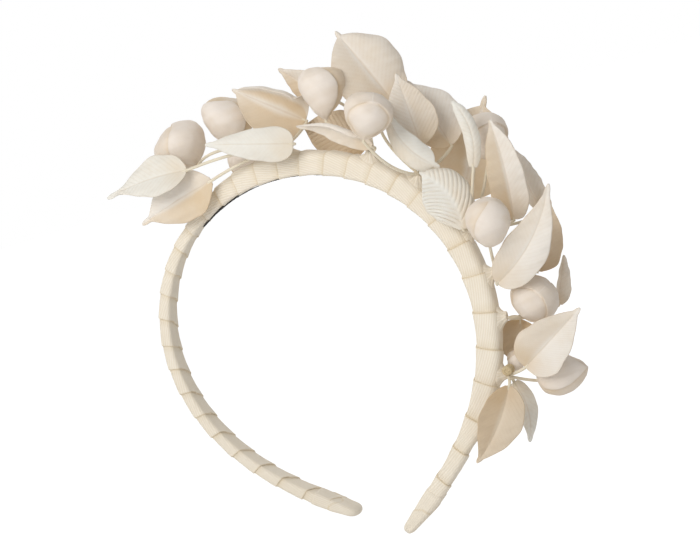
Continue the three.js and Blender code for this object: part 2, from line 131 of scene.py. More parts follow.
def facing(at: Numbers, to: Numbers) -> tuple[Array, Array, float]:
    """The direction from one point to another, the front square to it, and the distance."""
    reach = np.subtract(to, at)
    length = float(np.linalg.norm(reach))
    direction = reach / length
    return direction, unit(np.array([0.0, -1.0, 0.0]) + direction * direction[1]), length


# ------------------------------------------------------------------------ nodes


def math_node(operation: str) -> Callable[..., "Signal"]:
    """A method of Signal that adds one kind of Math node."""

    def method(self: "Signal", *others: "Signal | float") -> "Signal":
        """The node's result, with this signal and the others as its inputs, in order."""
        inputs = dict(enumerate((self, *others)))
        return self.graph.signal("ShaderNodeMath", {"operation": operation}, inputs)

    return method


class Signal:
    """A number on a node's socket, which builds Math nodes when it is used in sums."""

    __add__ = __radd__ = math_node("ADD")
    __sub__ = math_node("SUBTRACT")
    __mul__ = __rmul__ = math_node("MULTIPLY")
    __pow__ = math_node("POWER")
    sin = math_node("SINE")
    absolute = math_node("ABSOLUTE")
    above = math_node("GREATER_THAN")

    def __init__(self, graph: "Graph", socket: Socket) -> None:
        """Wraps a socket of a graph."""
        self.graph = graph
        self.socket = socket

    def __rsub__(self, other: float) -> "Signal":
        """Difference from a number."""
        return (self * -1.0) + other

    def rise(self, low: float, high: float) -> "Signal":
        """A smooth rise from 0 at low to 1 at high."""
        inputs = {"Value": self, "From Min": low, "From Max": high}
        settings = {"interpolation_type": "SMOOTHSTEP"}
        return self.graph.signal("ShaderNodeMapRange", settings, inputs, "Result")


class Graph:
    """A node tree with one way of adding nodes."""

    def __init__(self, tree: bpy.types.NodeTree) -> None:
        """Wraps a shader or geometry tree."""
        self.tree = tree

    def node(self, kind: str, settings: dict | None = None, inputs: dict | None = None) -> Node:
        """Adds a node.

        Args:
            kind: The node's type.
            settings: Its properties, set before its sockets are touched.
            inputs: Values, sockets or signals, by socket name or number.

        Returns:
            The node.
        """
        made = self.tree.nodes.new(kind)
        for name, value in (settings or {}).items():
            setattr(made, name, value)
        for name, value in (inputs or {}).items():
            if isinstance(value, (Signal, Socket)):
                self.join(value, made, name)
            else:
                made.inputs[name].default_value = value
        return made

    def signal(self, kind: str, settings: dict | None = None, inputs: dict | None = None,
               output: str | int = 0) -> Signal:
        """Adds a node and wraps one of its outputs."""
        return Signal(self, self.node(kind, settings, inputs).outputs[output])

    def join(self, value: Signal | Socket, node: Node, name: str | int) -> None:
        """Links a value to one of a node's inputs."""
        self.tree.links.new(value.socket if isinstance(value, Signal) else value, node.inputs[name])

    def mix(self, factor: Signal | float, first: object, second: object) -> Socket:
        """A colour between two colours or colour sockets."""
        sockets = {0: factor, 6: first, 7: second}
        return self.node("ShaderNodeMix", {"data_type": "RGBA"}, sockets).outputs[2]

    def place(self) -> Socket:
        """The place in the piece's own frame."""
        return self.node("ShaderNodeTexCoord").outputs["Object"]

    def own(self, attribute: str) -> Signal:
        """A number that the mesh carries at each point."""
        return self.signal("ShaderNodeAttribute", {"attribute_name": attribute}, None, "Fac")

    def noise(self, place: Socket, size: float, detail: float = 3.0) -> Signal:
        """Noise between 0 and 1 whose humps are about size millimetres apart."""
        inputs = {"Vector": place, "Scale": 1 / (size * MM), "Detail": detail}
        return self.signal("ShaderNodeTexNoise", None, inputs, "Fac")

    def bump(self, shader: Node, height: Signal, depth: float, strength: float) -> None:
        """Joins a height, in depths of so many millimetres, to the shader's normal."""
        inputs = {"Height": height, "Distance": depth * MM, "Strength": strength}
        self.join(self.node("ShaderNodeBump", None, inputs).outputs[0], shader, "Normal")


# --------------------------------------------------------------------- finishes


def color(red: float, green: float, blue: float) -> Rgba:
    """A scene-linear colour with its alpha."""
    return (red, green, blue, 1.0)


@dataclass(frozen=True)
class Finish:
    """What every finish has: a name, a base colour and how rough it is."""

    name: str
    base: Rgba
    roughness: float

    def material(self) -> bpy.types.Material:
        """The finish as a Blender material, made once."""
        found = bpy.data.materials.get(self.name)
        if found:
            return found
        made = bpy.data.materials.new(self.name)
        made.use_nodes = True
        made.node_tree.nodes.clear()
        graph = Graph(made.node_tree)
        shader = graph.node("ShaderNodeBsdfPrincipled", None, {"Roughness": self.roughness})
        graph.node("ShaderNodeOutputMaterial", None, {0: shader.outputs[0]})
        self.dress(graph, shader)
        return made

    def dress(self, graph: Graph, shader: Node) -> None:
        """Adds what sets the finish apart."""
        raise NotImplementedError


@dataclass(frozen=True)
class Leather(Finish):
    """Thin dyed leather: fine grain, uneven tone, painted shade where the mesh's shade numbers ask for it,
    and painted shade along its pressed lines.
    """

    # The colour that both the random mottle and the painted shade mix towards.
    tone_and_shade: Rgba = color(0.72, 0.57, 0.39)
    # Painted shade along pressed lines, seams and laps.
    line_shade_colour: Rgba = color(0.58, 0.42, 0.25)
    speck: Rgba = color(0.09, 0.06, 0.04)
    specks: bool = True
    specks_per_metre: float = 95.0
    cloud_size: float = 3.0
    grain: float = 0.55
    grain_depth: float = 0.06
    gloss: float = 0.22

    def dress(self, graph: Graph, shader: Node) -> None:
        """Uneven tone with painted shade, painted shade along pressed lines, specks and grain."""
        place = graph.place()
        tone = graph.noise(place, 14.0)
        cloud = graph.noise(place, self.cloud_size, 2.0)
        # Random mottle plus the painted shade that the mesh carries.
        tone_and_shade_mix = (tone * 0.7 + cloud * 0.3).rise(0.38, 0.72) * 0.22 + graph.own("shade") * 0.9
        toned = graph.mix(tone_and_shade_mix, self.base, self.tone_and_shade)
        # Painted shade along the lines that the mesh marks.
        lined = graph.mix(graph.own("crease") * (cloud * 0.5 + 0.5), toned, self.line_shade_colour)
        if self.specks:
            cell = graph.node("ShaderNodeTexVoronoi", None, {"Vector": place, "Scale": self.specks_per_metre})
            lone = graph.signal("ShaderNodeSeparateColor", None, {0: cell.outputs["Color"]}).above(0.75)
            near = 1.0 - Signal(graph, cell.outputs["Distance"]).rise(0.012, 0.03)
            lined = graph.mix(near * lone * 0.85, lined, self.speck)
        graph.join(lined, shader, "Base Color")
        graph.join(cloud * 0.16 + (self.roughness - 0.08), shader, "Roughness")
        pores = graph.signal("ShaderNodeTexVoronoi", {"feature": "SMOOTH_F1"},
                             {"Vector": place, "Scale": 1 / (self.grain * MM)}, "Distance")
        fine = graph.noise(place, self.grain * 2.6)
        graph.bump(shader, pores * 0.6 + fine * 0.8, self.grain_depth, 0.7)
        shader.inputs["Specular IOR Level"].default_value = self.gloss


@dataclass(frozen=True)
class Grosgrain(Finish):
    """Ribbed ribbon: the warp shows as fine threads across its ribs."""

    # Painted shade in the rib grooves and along the lapped edges; the random unevenness mixes towards it too.
    groove: Rgba = color(0.66, 0.52, 0.31)
    thread: float = 0.24
    thread_depth: float = 0.05
    gloss: float = 0.35

    def dress(self, graph: Graph, shader: Node) -> None:
        """Ribs with painted shade in their grooves, threads, uneven tone, and painted shade along the
        ribbon's lapped edges.
        """
        place = graph.place()
        rib = graph.own("rib")
        across = graph.own("width_mm")
        # Painted shade in the grooves between ribs.
        low = 0.5 - (rib * TURN + math.pi / 2).sin() * 0.5
        uneven = graph.noise(place, 9.0)
        shade = graph.mix(low * 0.24 + uneven * 0.2, self.base, self.groove)
        # Painted shade along the lapped edges.
        lined = graph.mix(graph.own("crease") * 0.75, shade, self.groove)
        graph.join(lined, shader, "Base Color")
        graph.join(uneven * 0.14 + (self.roughness - 0.07), shader, "Roughness")
        warp = (across * (TURN / self.thread) + (rib * (TURN / 2)).sin() * 0.6).sin()
        weft = (rib * (TURN * 3)).sin()
        height = warp * 0.5 + weft * 0.25 + graph.noise(place, 0.3, 2.0) * 0.5
        graph.bump(shader, height, self.thread_depth, 0.5)
        shader.inputs["Specular IOR Level"].default_value = self.gloss


@dataclass(frozen=True)
class CoveredWire(Finish):
    """Wire wound in fine paper or thread."""

    shadow: Rgba = color(0.58, 0.45, 0.27)

    def dress(self, graph: Graph, shader: Node) -> None:
        """Slight tone along the wire and fine fibres."""
        place = graph.place()
        tone = graph.noise(place, 4.0)
        fibre = graph.noise(place, 0.35)
        graph.join(graph.mix(tone * 0.5 * fibre + tone * 0.15, self.base, self.shadow), shader, "Base Color")
        graph.bump(shader, fibre, 0.12, 0.8)


@dataclass(frozen=True)
class Pile(Finish):
    """Short dark pile."""

    light: Rgba = color(0.075, 0.068, 0.062)

    def dress(self, graph: Graph, shader: Node) -> None:
        """Speckled tone and a rough face."""
        tuft = graph.noise(graph.place(), 0.8)
        graph.join(graph.mix(tuft.rise(0.4, 0.7) * 0.6, self.base, self.light), shader, "Base Color")
        graph.bump(shader, tuft, 0.4, 0.8)


@dataclass(frozen=True)
class SpringSteel(Finish):
    """Rolled spring strip."""

    dull: Rgba = color(0.36, 0.35, 0.33)

    def dress(self, graph: Graph, shader: Node) -> None:
        """Rolling lines along the strip."""
        drawn = graph.noise(graph.place(), 1.2, 4.0)
        graph.join(graph.mix(drawn * 0.5, self.base, self.dull), shader, "Base Color")
        graph.join(drawn * 0.2 + self.roughness - 0.1, shader, "Roughness")
        shader.inputs["Metallic"].default_value = 1.0


LEAF_LEATHER = Leather("leaf_leather_plain", color(0.855, 0.80, 0.725), 0.66)
COOL_LEATHER = Leather("leaf_leather_cool", color(0.84, 0.82, 0.755), 0.66, tone_and_shade=color(0.74, 0.62, 0.46))
# Painted shade: a darker, browner copy of the leaf leather for leaves that sit in shade.
SHADED_LEATHER = Leather("leaf_leather_shaded", color(0.74, 0.635, 0.50), 0.68, tone_and_shade=color(0.60, 0.44, 0.27))
BUD_LEATHER = Leather("bud_leather_smooth", color(0.875, 0.795, 0.715), 0.6, grain_depth=0.035, specks=False)
RIBBON = Grosgrain("grosgrain", color(0.915, 0.845, 0.73), 0.5)
COVERED_WIRE = CoveredWire("covered_wire", color(0.84, 0.77, 0.62), 0.7)
WIRE_ENDS = CoveredWire("bound_wire_ends", color(0.60, 0.48, 0.29), 0.8)
PILE = Pile("grip_pile", color(0.024, 0.021, 0.019), 0.95)
SPRING_STEEL = SpringSteel("spring_steel", color(0.52, 0.52, 0.50), 0.35)


class Tone(Enum):
    """Which leather a leaf is cut from; the darker, browner one is painted shade for leaves that sit in shade
    among the others.
    """

    PLAIN = LEAF_LEATHER
    COOL = COOL_LEATHER
    # Painted shade: the darker, browner copy.
    SHADED = SHADED_LEATHER


# ----------------------------------------------------------------------- meshes


def show(name: str, data: bpy.types.ID) -> Thing:
    """A new object with this data, in the scene."""
    made = bpy.data.objects.new(name, data)
    bpy.context.scene.collection.objects.link(made)
    return made


def show_smooth(name: str, mesh: bpy.types.Mesh, finish: Finish) -> Thing:
    """A mesh as a smooth object in one finish."""
    mesh.polygons.foreach_set("use_smooth", [True] * len(mesh.polygons))
    mesh.materials.clear()
    mesh.materials.append(finish.material())
    return show(name, mesh)


def finish_piece(piece: Thing, slot: str, body: str, *nodes: str) -> None:
    """Attaches a piece to the body it rides on and hides the frame parts it stands for."""
    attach(piece, body)
    if nodes:
        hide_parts(*nodes)


@dataclass
class Skin:
    """A mesh as it is put together: points in millimetres, faces and point numbers."""

    points: list[Array] = field(default_factory=list)
    faces: list[tuple[int, ...]] = field(default_factory=list)
    numbers: dict[str, list[Array]] = field(default_factory=dict)
    count: int = 0

    def rings(self, rings: Array, **numbers: Array | float) -> "Skin":
        """Joins rings of points into a skin that is closed at both ends.

        Args:
            rings: Points as [ring, place in the ring, xyz].
            numbers: Values that stretch over [ring, place in the ring]. Every call
                on one skin gives the same names.

        Returns:
            The skin itself.
        """
        rows, columns, _ = rings.shape
        index = np.arange(rows * columns).reshape(rows, columns) + self.count
        rolled = np.roll(index, -1, axis=1)
        quads = np.stack([index[:-1], rolled[:-1], rolled[1:], index[1:]], axis=-1).reshape(-1, 4)
        faces = [tuple(quad) for quad in quads.tolist()]
        faces += [tuple(index[0][::-1].tolist()), tuple(index[-1].tolist())]
        if self._inside_out(rings):
            faces = [face[::-1] for face in faces]
        self.faces.extend(faces)
        self.points.append(rings.reshape(-1, 3))
        for name, values in numbers.items():
            spread = np.broadcast_to(np.asarray(values, float), (rows, columns))
            self.numbers.setdefault(name, []).append(spread.reshape(-1))
        self.count += rows * columns
        return self

    @staticmethod
    def _inside_out(rings: Array) -> bool:
        """Whether faces made in ring order would look inwards."""
        a, b = rings[:-1], rings[1:]
        a2, b2 = np.roll(a, -1, axis=1), np.roll(b, -1, axis=1)
        volume = np.einsum("ijk,ijk->", a, np.cross(a2, b2) + np.cross(b2, b))
        for ring, sign in ((rings[0], -1), (rings[-1], 1)):
            around = np.cross(ring, np.roll(ring, -1, axis=0))
            volume += sign * np.einsum("k,jk->", ring.mean(axis=0), around)
        return volume < 0

    def make(self, name: str, finish: Finish) -> Thing:
        """The skin as a Blender object at the origin, smooth and in metres."""
        mesh = bpy.data.meshes.new(name)
        mesh.from_pydata((np.concatenate(self.points) * MM).tolist(), [], self.faces)
        for label, parts in self.numbers.items():
            layer = mesh.attributes.new(label, "FLOAT", "POINT")
            layer.data.foreach_set("value", np.concatenate(parts).astype(np.float32))
        mesh.validate()
        return show_smooth(name, mesh, finish)


def sheet_rings(middle: Array, thickness: Array, bulge: float = 0.55) -> Array:
    """Gives a surface its thickness, with a rounded edge along both sides.

    Args:
        middle: The sheet's middle surface, as [row, column, xyz].
        thickness: Thickness for each point, as [row, column].
        bulge: How far the edge stands out, in thicknesses.

    Returns:
        Rings round the sheet, for Skin.rings.
    """
    along = np.gradient(middle, axis=0)
    across = np.gradient(middle, axis=1)
    half = unit(np.cross(along, across)) * thickness[..., None] / 2
    edge = unit(across) * thickness[..., None] * bulge
    left, right = middle[:, :1] - edge[:, :1], middle[:, -1:] + edge[:, -1:]
    return np.concatenate([middle + half, right, (middle - half)[:, ::-1], left], axis=1)


def around_sheet(values: Array) -> Array:
    """Numbers on a sheet's points, laid out for the rings of sheet_rings."""
    return np.concatenate([values, values[:, -1:], values[:, ::-1], values[:, :1]], axis=1)


class GeometryTool:
    """A Geometry Nodes tree that is run once on an object, with named inputs."""

    def __init__(self, name: str, sizes: dict[str, float]) -> None:
        """Starts a tree with a geometry input and one float input for each size."""
        self.tree = bpy.data.node_groups.new(name, "GeometryNodeTree")
        self.graph = Graph(self.tree)
        face = self.tree.interface
        for way in ("INPUT", "OUTPUT"):
            face.new_socket("Geometry", in_out=way, socket_type="NodeSocketGeometry")
        self.values = {}
        for label, value in sizes.items():
            socket = face.new_socket(label, in_out="INPUT", socket_type="NodeSocketFloat")
            self.values[socket.identifier] = float(value)
        self.source = self.graph.node("NodeGroupInput")

    def size(self, label: str) -> Signal:
        """One of the tree's named sizes."""
        return Signal(self.graph, self.source.outputs[label])

    def end(self, geometry: Socket, finish: Finish) -> None:
        """Closes the tree with Realize Instances and Set Material."""
        real = self.graph.node("GeometryNodeRealizeInstances", None, {"Geometry": geometry})
        inputs = {"Geometry": real.outputs[0], "Material": finish.material()}
        dressed = self.graph.node("GeometryNodeSetMaterial", None, inputs)
        self.graph.node("NodeGroupOutput", None, {"Geometry": dressed.outputs[0]})

    def run(self, target: Thing, name: str, finish: Finish) -> Thing:
        """Runs the tree on an object and keeps the result as a plain mesh.

        Args:
            target: The object that the tree starts from. It is removed.
            name: The result's name.
            finish: Its finish.

        Returns:
            The new object, at the origin.
        """
        modifier = target.modifiers.new("build", "NODES")
        modifier.node_group = self.tree
        for key, value in self.values.items():
            modifier[key] = value
        graph = bpy.context.evaluated_depsgraph_get()
        mesh = bpy.data.meshes.new_from_object(target.evaluated_get(graph))
        start = target.data
        bpy.data.objects.remove(target)
        bpy.data.meshes.remove(start)
        mesh.name = name
        return show_smooth(name, mesh, finish)


# -------------------------------------------------------------------- band line


@dataclass(frozen=True)
class BandLine:
    """The headband's middle line and outline. Stations run from -1 to 1, tip to tip."""

    half_length: float = 198.5
    width: float = 8.4
    thickness: float = 4.4
    bends: tuple[float, ...] = (2.7, 3.1, 3.09, 2.3, 0.35)
    tip_offset: float = 22.0
    crest: float = 3.6
    bed_height: float = 4.1
    bed_start: float = -0.02
    bed_end: float = 0.69
    tail_build: float = 1.4
    steps: int = 400

    def traced(self) -> tuple[Array, Array, Array]:
        """Sideways place, height and turn at each step from crown to tip."""
        share = (np.arange(self.steps) + 0.5) / self.steps * (len(self.bends) - 1)
        bend = np.interp(share, np.arange(len(self.bends)), self.bends)
        turn = np.concatenate([[0.0], np.cumsum(bend / self.steps)])
        middle = (turn[1:] + turn[:-1]) / 2
        step = self.half_length / self.steps
        x = np.concatenate([[0.0], np.cumsum(np.cos(middle) * step)])
        z = np.concatenate([[0.0], np.cumsum(-np.sin(middle) * step)])
        return x, z, turn

    def frame(self, station: Array) -> tuple[Array, Array, Array]:
        """The line's points with the directions along it and out of it."""
        station = np.asarray(station, float)
        x, z, turn = self.traced()
        side = np.where(station < 0, -1.0, 1.0)
        at = np.clip(np.abs(station), 0, 1) * self.steps
        grid = np.arange(self.steps + 1)
        px, pz, angle = np.interp(at, grid, x), np.interp(at, grid, z), np.interp(at, grid, turn) * side
        flat = np.zeros_like(px)
        point = np.stack([px * side, -self.tip_offset * station * np.abs(station), self.crest + pz], -1)
        along = np.stack([np.cos(angle), flat, -np.sin(angle)], -1)
        out = np.stack([np.sin(angle), flat, np.cos(angle)], -1)
        return point, along, out

    def build_up(self, station: Array) -> Array:
        """How far the bound stems, or doubled ribbon, lift the ribbon."""
        rise = smoothstep(self.bed_start - 0.2, self.bed_start, station)
        fall = smoothstep(self.bed_end + 0.06, self.bed_end + 0.12, station)
        return rise * (self.bed_height + (self.tail_build - self.bed_height) * fall)

    def outer(self, station: Array) -> Array:
        """Height of the outer face above the middle line."""
        return self.thickness / 2 + self.build_up(station)

    def at(self, station: Array, out: Array, across: Array) -> Array:
        """Points at a height out of the line and a distance across it."""
        point, _, outward = self.frame(station)
        placed = point + outward * np.asarray(out, float)[..., None]
        placed[..., 1] += across
        return placed

    def round(self, station: Array, share: Array, lift: Array) -> tuple[Array, Array]:
        """Points round the winding.

        Args:
            station: Stations along the band.
            share: Places round it, from 0 at the middle of the inner face, by the
                front, to 1.
            lift: Heights above the winding's face.

        Returns:
            The points, and the girth there.
        """
        build = self.build_up(station)
        half = self.width / 2 + lift
        low, high = -self.thickness / 2 - lift, self.thickness / 2 + build + lift
        inner = 1.0 + lift
        outer = 1.15 + 0.36 * build + lift
        lengths = [half - inner, inner * math.pi / 2, high - low - inner - outer,
                   outer * math.pi / 2, half - outer]
        ends = np.cumsum(lengths, axis=0)
        girth = 2 * ends[-1]
        share = share - np.floor(share)
        back = share > 0.5
        run = np.where(back, 1 - share, share) * girth
        turn_in = np.clip((run - ends[0]) / inner, 0, math.pi / 2)
        turn_out = np.clip((run - ends[2]) / outer, 0, math.pi / 2)
        flat_in = np.minimum(run, ends[0])
        rise = np.clip(run - ends[1], 0, lengths[2])
        flat_out = np.clip(run - ends[3], 0, None)
        across = flat_in + inner * np.sin(turn_in) - outer * (1 - np.cos(turn_out)) - flat_out
        out = low + inner * (1 - np.cos(turn_in)) + rise + outer * np.sin(turn_out)
        return self.at(station, out, np.where(back, across, -across)), girth

# ----------------------------------------------------------------------- ribbon


@dataclass
class Winding:
    """The grosgrain ribbon: one strip wound round the band, with its ends folded over.

    Pitches and depths are in millimetres. flex is the station where each arm bends,
    and fold_rings gives a fold's height, half length and half width at each ring.
    """

    line: BandLine
    left_pitch: float = 10.5
    crown_pitch: float = 9.2
    right_pitch: float = 13.0
    tuck: float = 0.16
    lean: float = 0.09
    thickness: float = 0.34
    lap_rise: float = 0.42
    level_front: float = 0.78
    rib_pitch: float = 0.85
    rib_depth: float = 0.09
    columns_per_turn: int = 240
    tip_columns: int = 168
    tip_cover: float = 19.0
    bare_tip: float = 6.0
    flex: float = 0.36
    flex_reach: float = 9.0
    fold_rings: tuple[Numbers, ...] = (
        (-0.9, 4.9, 3.5), (-0.3, 4.6, 3.3), (0.1, 4.1, 3.0), (0.4, 3.4, 2.6),
        (0.8, 2.8, 2.2), (1.2, 2.3, 1.9), (1.6, 1.9, 1.7), (2.1, 1.7, 1.55),
        (2.6, 1.5, 1.4), (2.8, 1.2, 1.1), (2.5, 0.8, 0.7))
    fold_pleats: int = 9
    last_crown_spray: int = 3

    def turns(self) -> tuple[Array, Array]:
        """Stations, and how many turns of ribbon lie before each."""
        station = np.linspace(-1.0, 1.0, 1600)
        to_right = smoothstep(0.2, 0.5, station)
        to_left = smoothstep(-0.15, -0.4, station)
        pitch = self.crown_pitch + (self.right_pitch - self.crown_pitch) * to_right
        pitch = pitch + (self.left_pitch - self.crown_pitch) * to_left
        step = (station[1] - station[0]) * self.line.half_length
        count = np.concatenate([[0.0], np.cumsum(step / ((pitch[1:] + pitch[:-1]) / 2))])
        return station, count

    def strip(self, first: float, last: float) -> Skin:
        """The ribbon between two counts of turns.

        Rows run across the ribbon, from its lapping edge at 0 to the tucked one.
        """
        station, count = self.turns()
        columns = max(2, int(round((last - first) * self.columns_per_turn)))
        turn = np.linspace(first, last, columns + 1)[:, None]
        rows = np.array([-0.012, 0.0, 0.02, 0.07, 0.2, 0.45, 0.7, 0.94, 1.0, 1.0 + self.tuck])
        lift = self.lap_rise * np.clip(1 - rows, 0, 1) ** 1.3
        lift[0] -= 0.12
        lift[-1] = -0.1
        whole = np.floor(turn)
        sway = 0.035 * np.sin(2.3 * whole + 0.6) * (1 - rows)
        total = turn - self.lean * rows
        level = self.level_front / TURN
        run = total - level * (np.sin(TURN * (total - 0.3)) + math.sin(TURN * 0.3))
        place = np.interp(run + rows + sway, count, station)
        lift = lift + 0.05 * np.sin(TURN * total * 3 + whole) * (1 - np.abs(2 * rows - 1))
        upper, _ = self.line.round(place, total, lift)
        lower, _ = self.line.round(place, total, lift - self.thickness)
        # Painted shadow on the turn below, beside the next turn's edge, and a painted shadow line along the
        # lapping edge itself.
        shadow = np.interp(rows, [0.7, 0.94, 1.0], [0.0, 0.3, 0.7])
        crease = 0.9 * np.exp(-(rows / 0.016) ** 2) + shadow
        across, blank = rows * self.crown_pitch, np.zeros_like(rows)
        return Skin().rings(
            np.concatenate([upper, lower[:, ::-1]], axis=1), rib=np.interp(turn, count, self._rib_count()),
            face=np.concatenate([blank + 1, blank]), width_mm=np.concatenate([across, across[::-1]]),
            crease=np.concatenate([crease, blank]))

    def _rib_count(self) -> Array:
        """How many ribs lie before each station, counted along the ribbon."""
        station, count = self.turns()
        _, girth = self.line.round(station, np.full_like(station, 0.25), np.zeros_like(station))
        per_turn = np.round(girth / self.rib_pitch * 2) / 2
        return np.concatenate([[0.0], np.cumsum((per_turn[1:] + per_turn[:-1]) / 2 * np.diff(count))])

    def rib_tool(self) -> GeometryTool:
        """Geometry Nodes that press the ribs into the ribbon."""
        tool = GeometryTool("ribbon_ribs", {"Rib depth": self.rib_depth * MM})
        graph = tool.graph
        rib, face = (graph.signal("GeometryNodeInputNamedAttribute", {"data_type": "FLOAT"}, {"Name": name})
                     for name in ("rib", "face"))
        wave = (rib * (TURN / 2)).sin().absolute()
        height = (wave ** 0.7 - 0.6) * tool.size("Rib depth") * face
        inputs = {0: graph.node("GeometryNodeInputNormal").outputs[0], "Scale": height}
        offset = graph.node("ShaderNodeVectorMath", {"operation": "SCALE"}, inputs).outputs[0]
        inputs = {"Geometry": tool.source.outputs[0], "Offset": offset}
        tool.end(graph.node("GeometryNodeSetPosition", None, inputs).outputs[0], RIBBON)
        return tool

    def tip(self, side: int) -> Skin:
        """The ribbon's end, folded over the band's tip."""
        line = self.line
        cover = self.tip_cover / line.half_length
        share = np.concatenate([[0.0, 0.01, 0.03], np.linspace(0.06, 0.8, 26),
                                1 - 0.2 * np.cos(np.linspace(0.1, 1.5, 12))])[:, None]
        around = np.linspace(0, 1, self.tip_columns, endpoint=False)[None, :]
        station = side * (1 - cover + cover * share)
        lap = 0.36 + 0.16 * np.sin(TURN * (around + 0.1)) + 0.1 * np.cos(2 * TURN * around)
        lift = 0.12 + 0.38 * smoothstep(0.0, 0.03, share) + 0.3 * smoothstep(0.0, 0.02, share - lap)
        ring, girth = line.round(station, around, lift)
        rounding = np.clip((share - 0.8) / 0.2, 0, 1) ** 2.2
        shrink = np.sqrt(np.clip(1 - rounding, 0.02, 1))[..., None]
        middle = line.at(station, line.build_up(station) / 2, 0.0)
        _, _, out = line.frame(station)
        off = (ring - middle) * shrink
        height = np.sum(off * out, axis=-1, keepdims=True)
        flatter = 0.42 * smoothstep(0.1, 1.0, share)[..., None]
        # Painted shadow line along the edge where the folded end laps itself.
        return Skin().rings(
            middle + off - out * height * flatter, rib=np.round(girth.mean() / self.rib_pitch) * around,
            face=np.minimum(1, 5 * (1 - share)), width_mm=share * self.tip_cover,
            crease=0.8 * np.exp(-((share - lap - 0.005) / 0.014) ** 2))

    def fold(self, station: float) -> Skin:
        """A gathered fold of ribbon round the stems that leave it."""
        line = self.line
        heights, length, width = np.array(self.fold_rings).T[..., None]
        angle = np.linspace(0, TURN, 96, endpoint=False)[None, :]
        depth = 0.03 + 0.05 * smoothstep(0, 2.5, heights)
        pleat = 1 + depth * np.sin(self.fold_pleats * angle + 0.8 * heights)
        along = length * np.cos(angle) * pleat - 0.25 * np.maximum(heights, 0)
        across = width * np.sin(angle) * pleat
        place = station + along / line.half_length
        sink = 0.9 * (across / (line.width / 2)) ** 2
        points = line.at(place, line.outer(place) + self.lap_rise + heights - sink, across)
        # Painted shade in the hollows between pleats.
        return Skin().rings(points, rib=angle / TURN * 26, face=0.5, width_mm=heights, crease=(1 - pleat) * 4)

    def build(self) -> None:
        """Makes every piece of ribbon and sets what its ends and folds ride on."""
        station, count = self.turns()
        tool = self.rib_tool()
        cover = self.bare_tip / self.line.half_length
        first = float(np.interp(-1 + cover, station, count))
        middle = round(float(np.interp(0.0, station, count)))
        last = float(np.interp(1 - cover, station, count)) - 1.0
        halves = (("left", "left_arm", -1, first, middle), ("right", "right_arm", 1, middle, last))
        for name, arm, side, start, end in halves:
            piece = tool.run(self.strip(start, end).make("strip", RIBBON), f"ribbon_winding_{name}", RIBBON)
            flex, along, _ = self.line.frame(np.array([side * self.flex]))
            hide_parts("ribbon_crown", f"ribbon_{name}")
            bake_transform(piece)
            tip = tool.run(self.tip(side).make("tip", RIBBON), f"ribbon_end_{name}", RIBBON)
            finish_piece(tip, "ribbon", arm, f"ribbon_tip_{name}")
            log.info("ribbon %s: %d faces", name, len(piece.data.polygons))
        for number, spray in enumerate(SPRAYS, 1):
            fold = self.fold(spray.station).make("fold", RIBBON)
            fold = tool.run(fold, f"spray_{number}_gathered_ribbon", RIBBON)
            body = "crown" if number <= self.last_crown_spray else "right_arm"
            finish_piece(fold, "ribbon", body, f"spray_{number}_ribbon_fold")


# --------------------------------------------------------------- leaves and buds


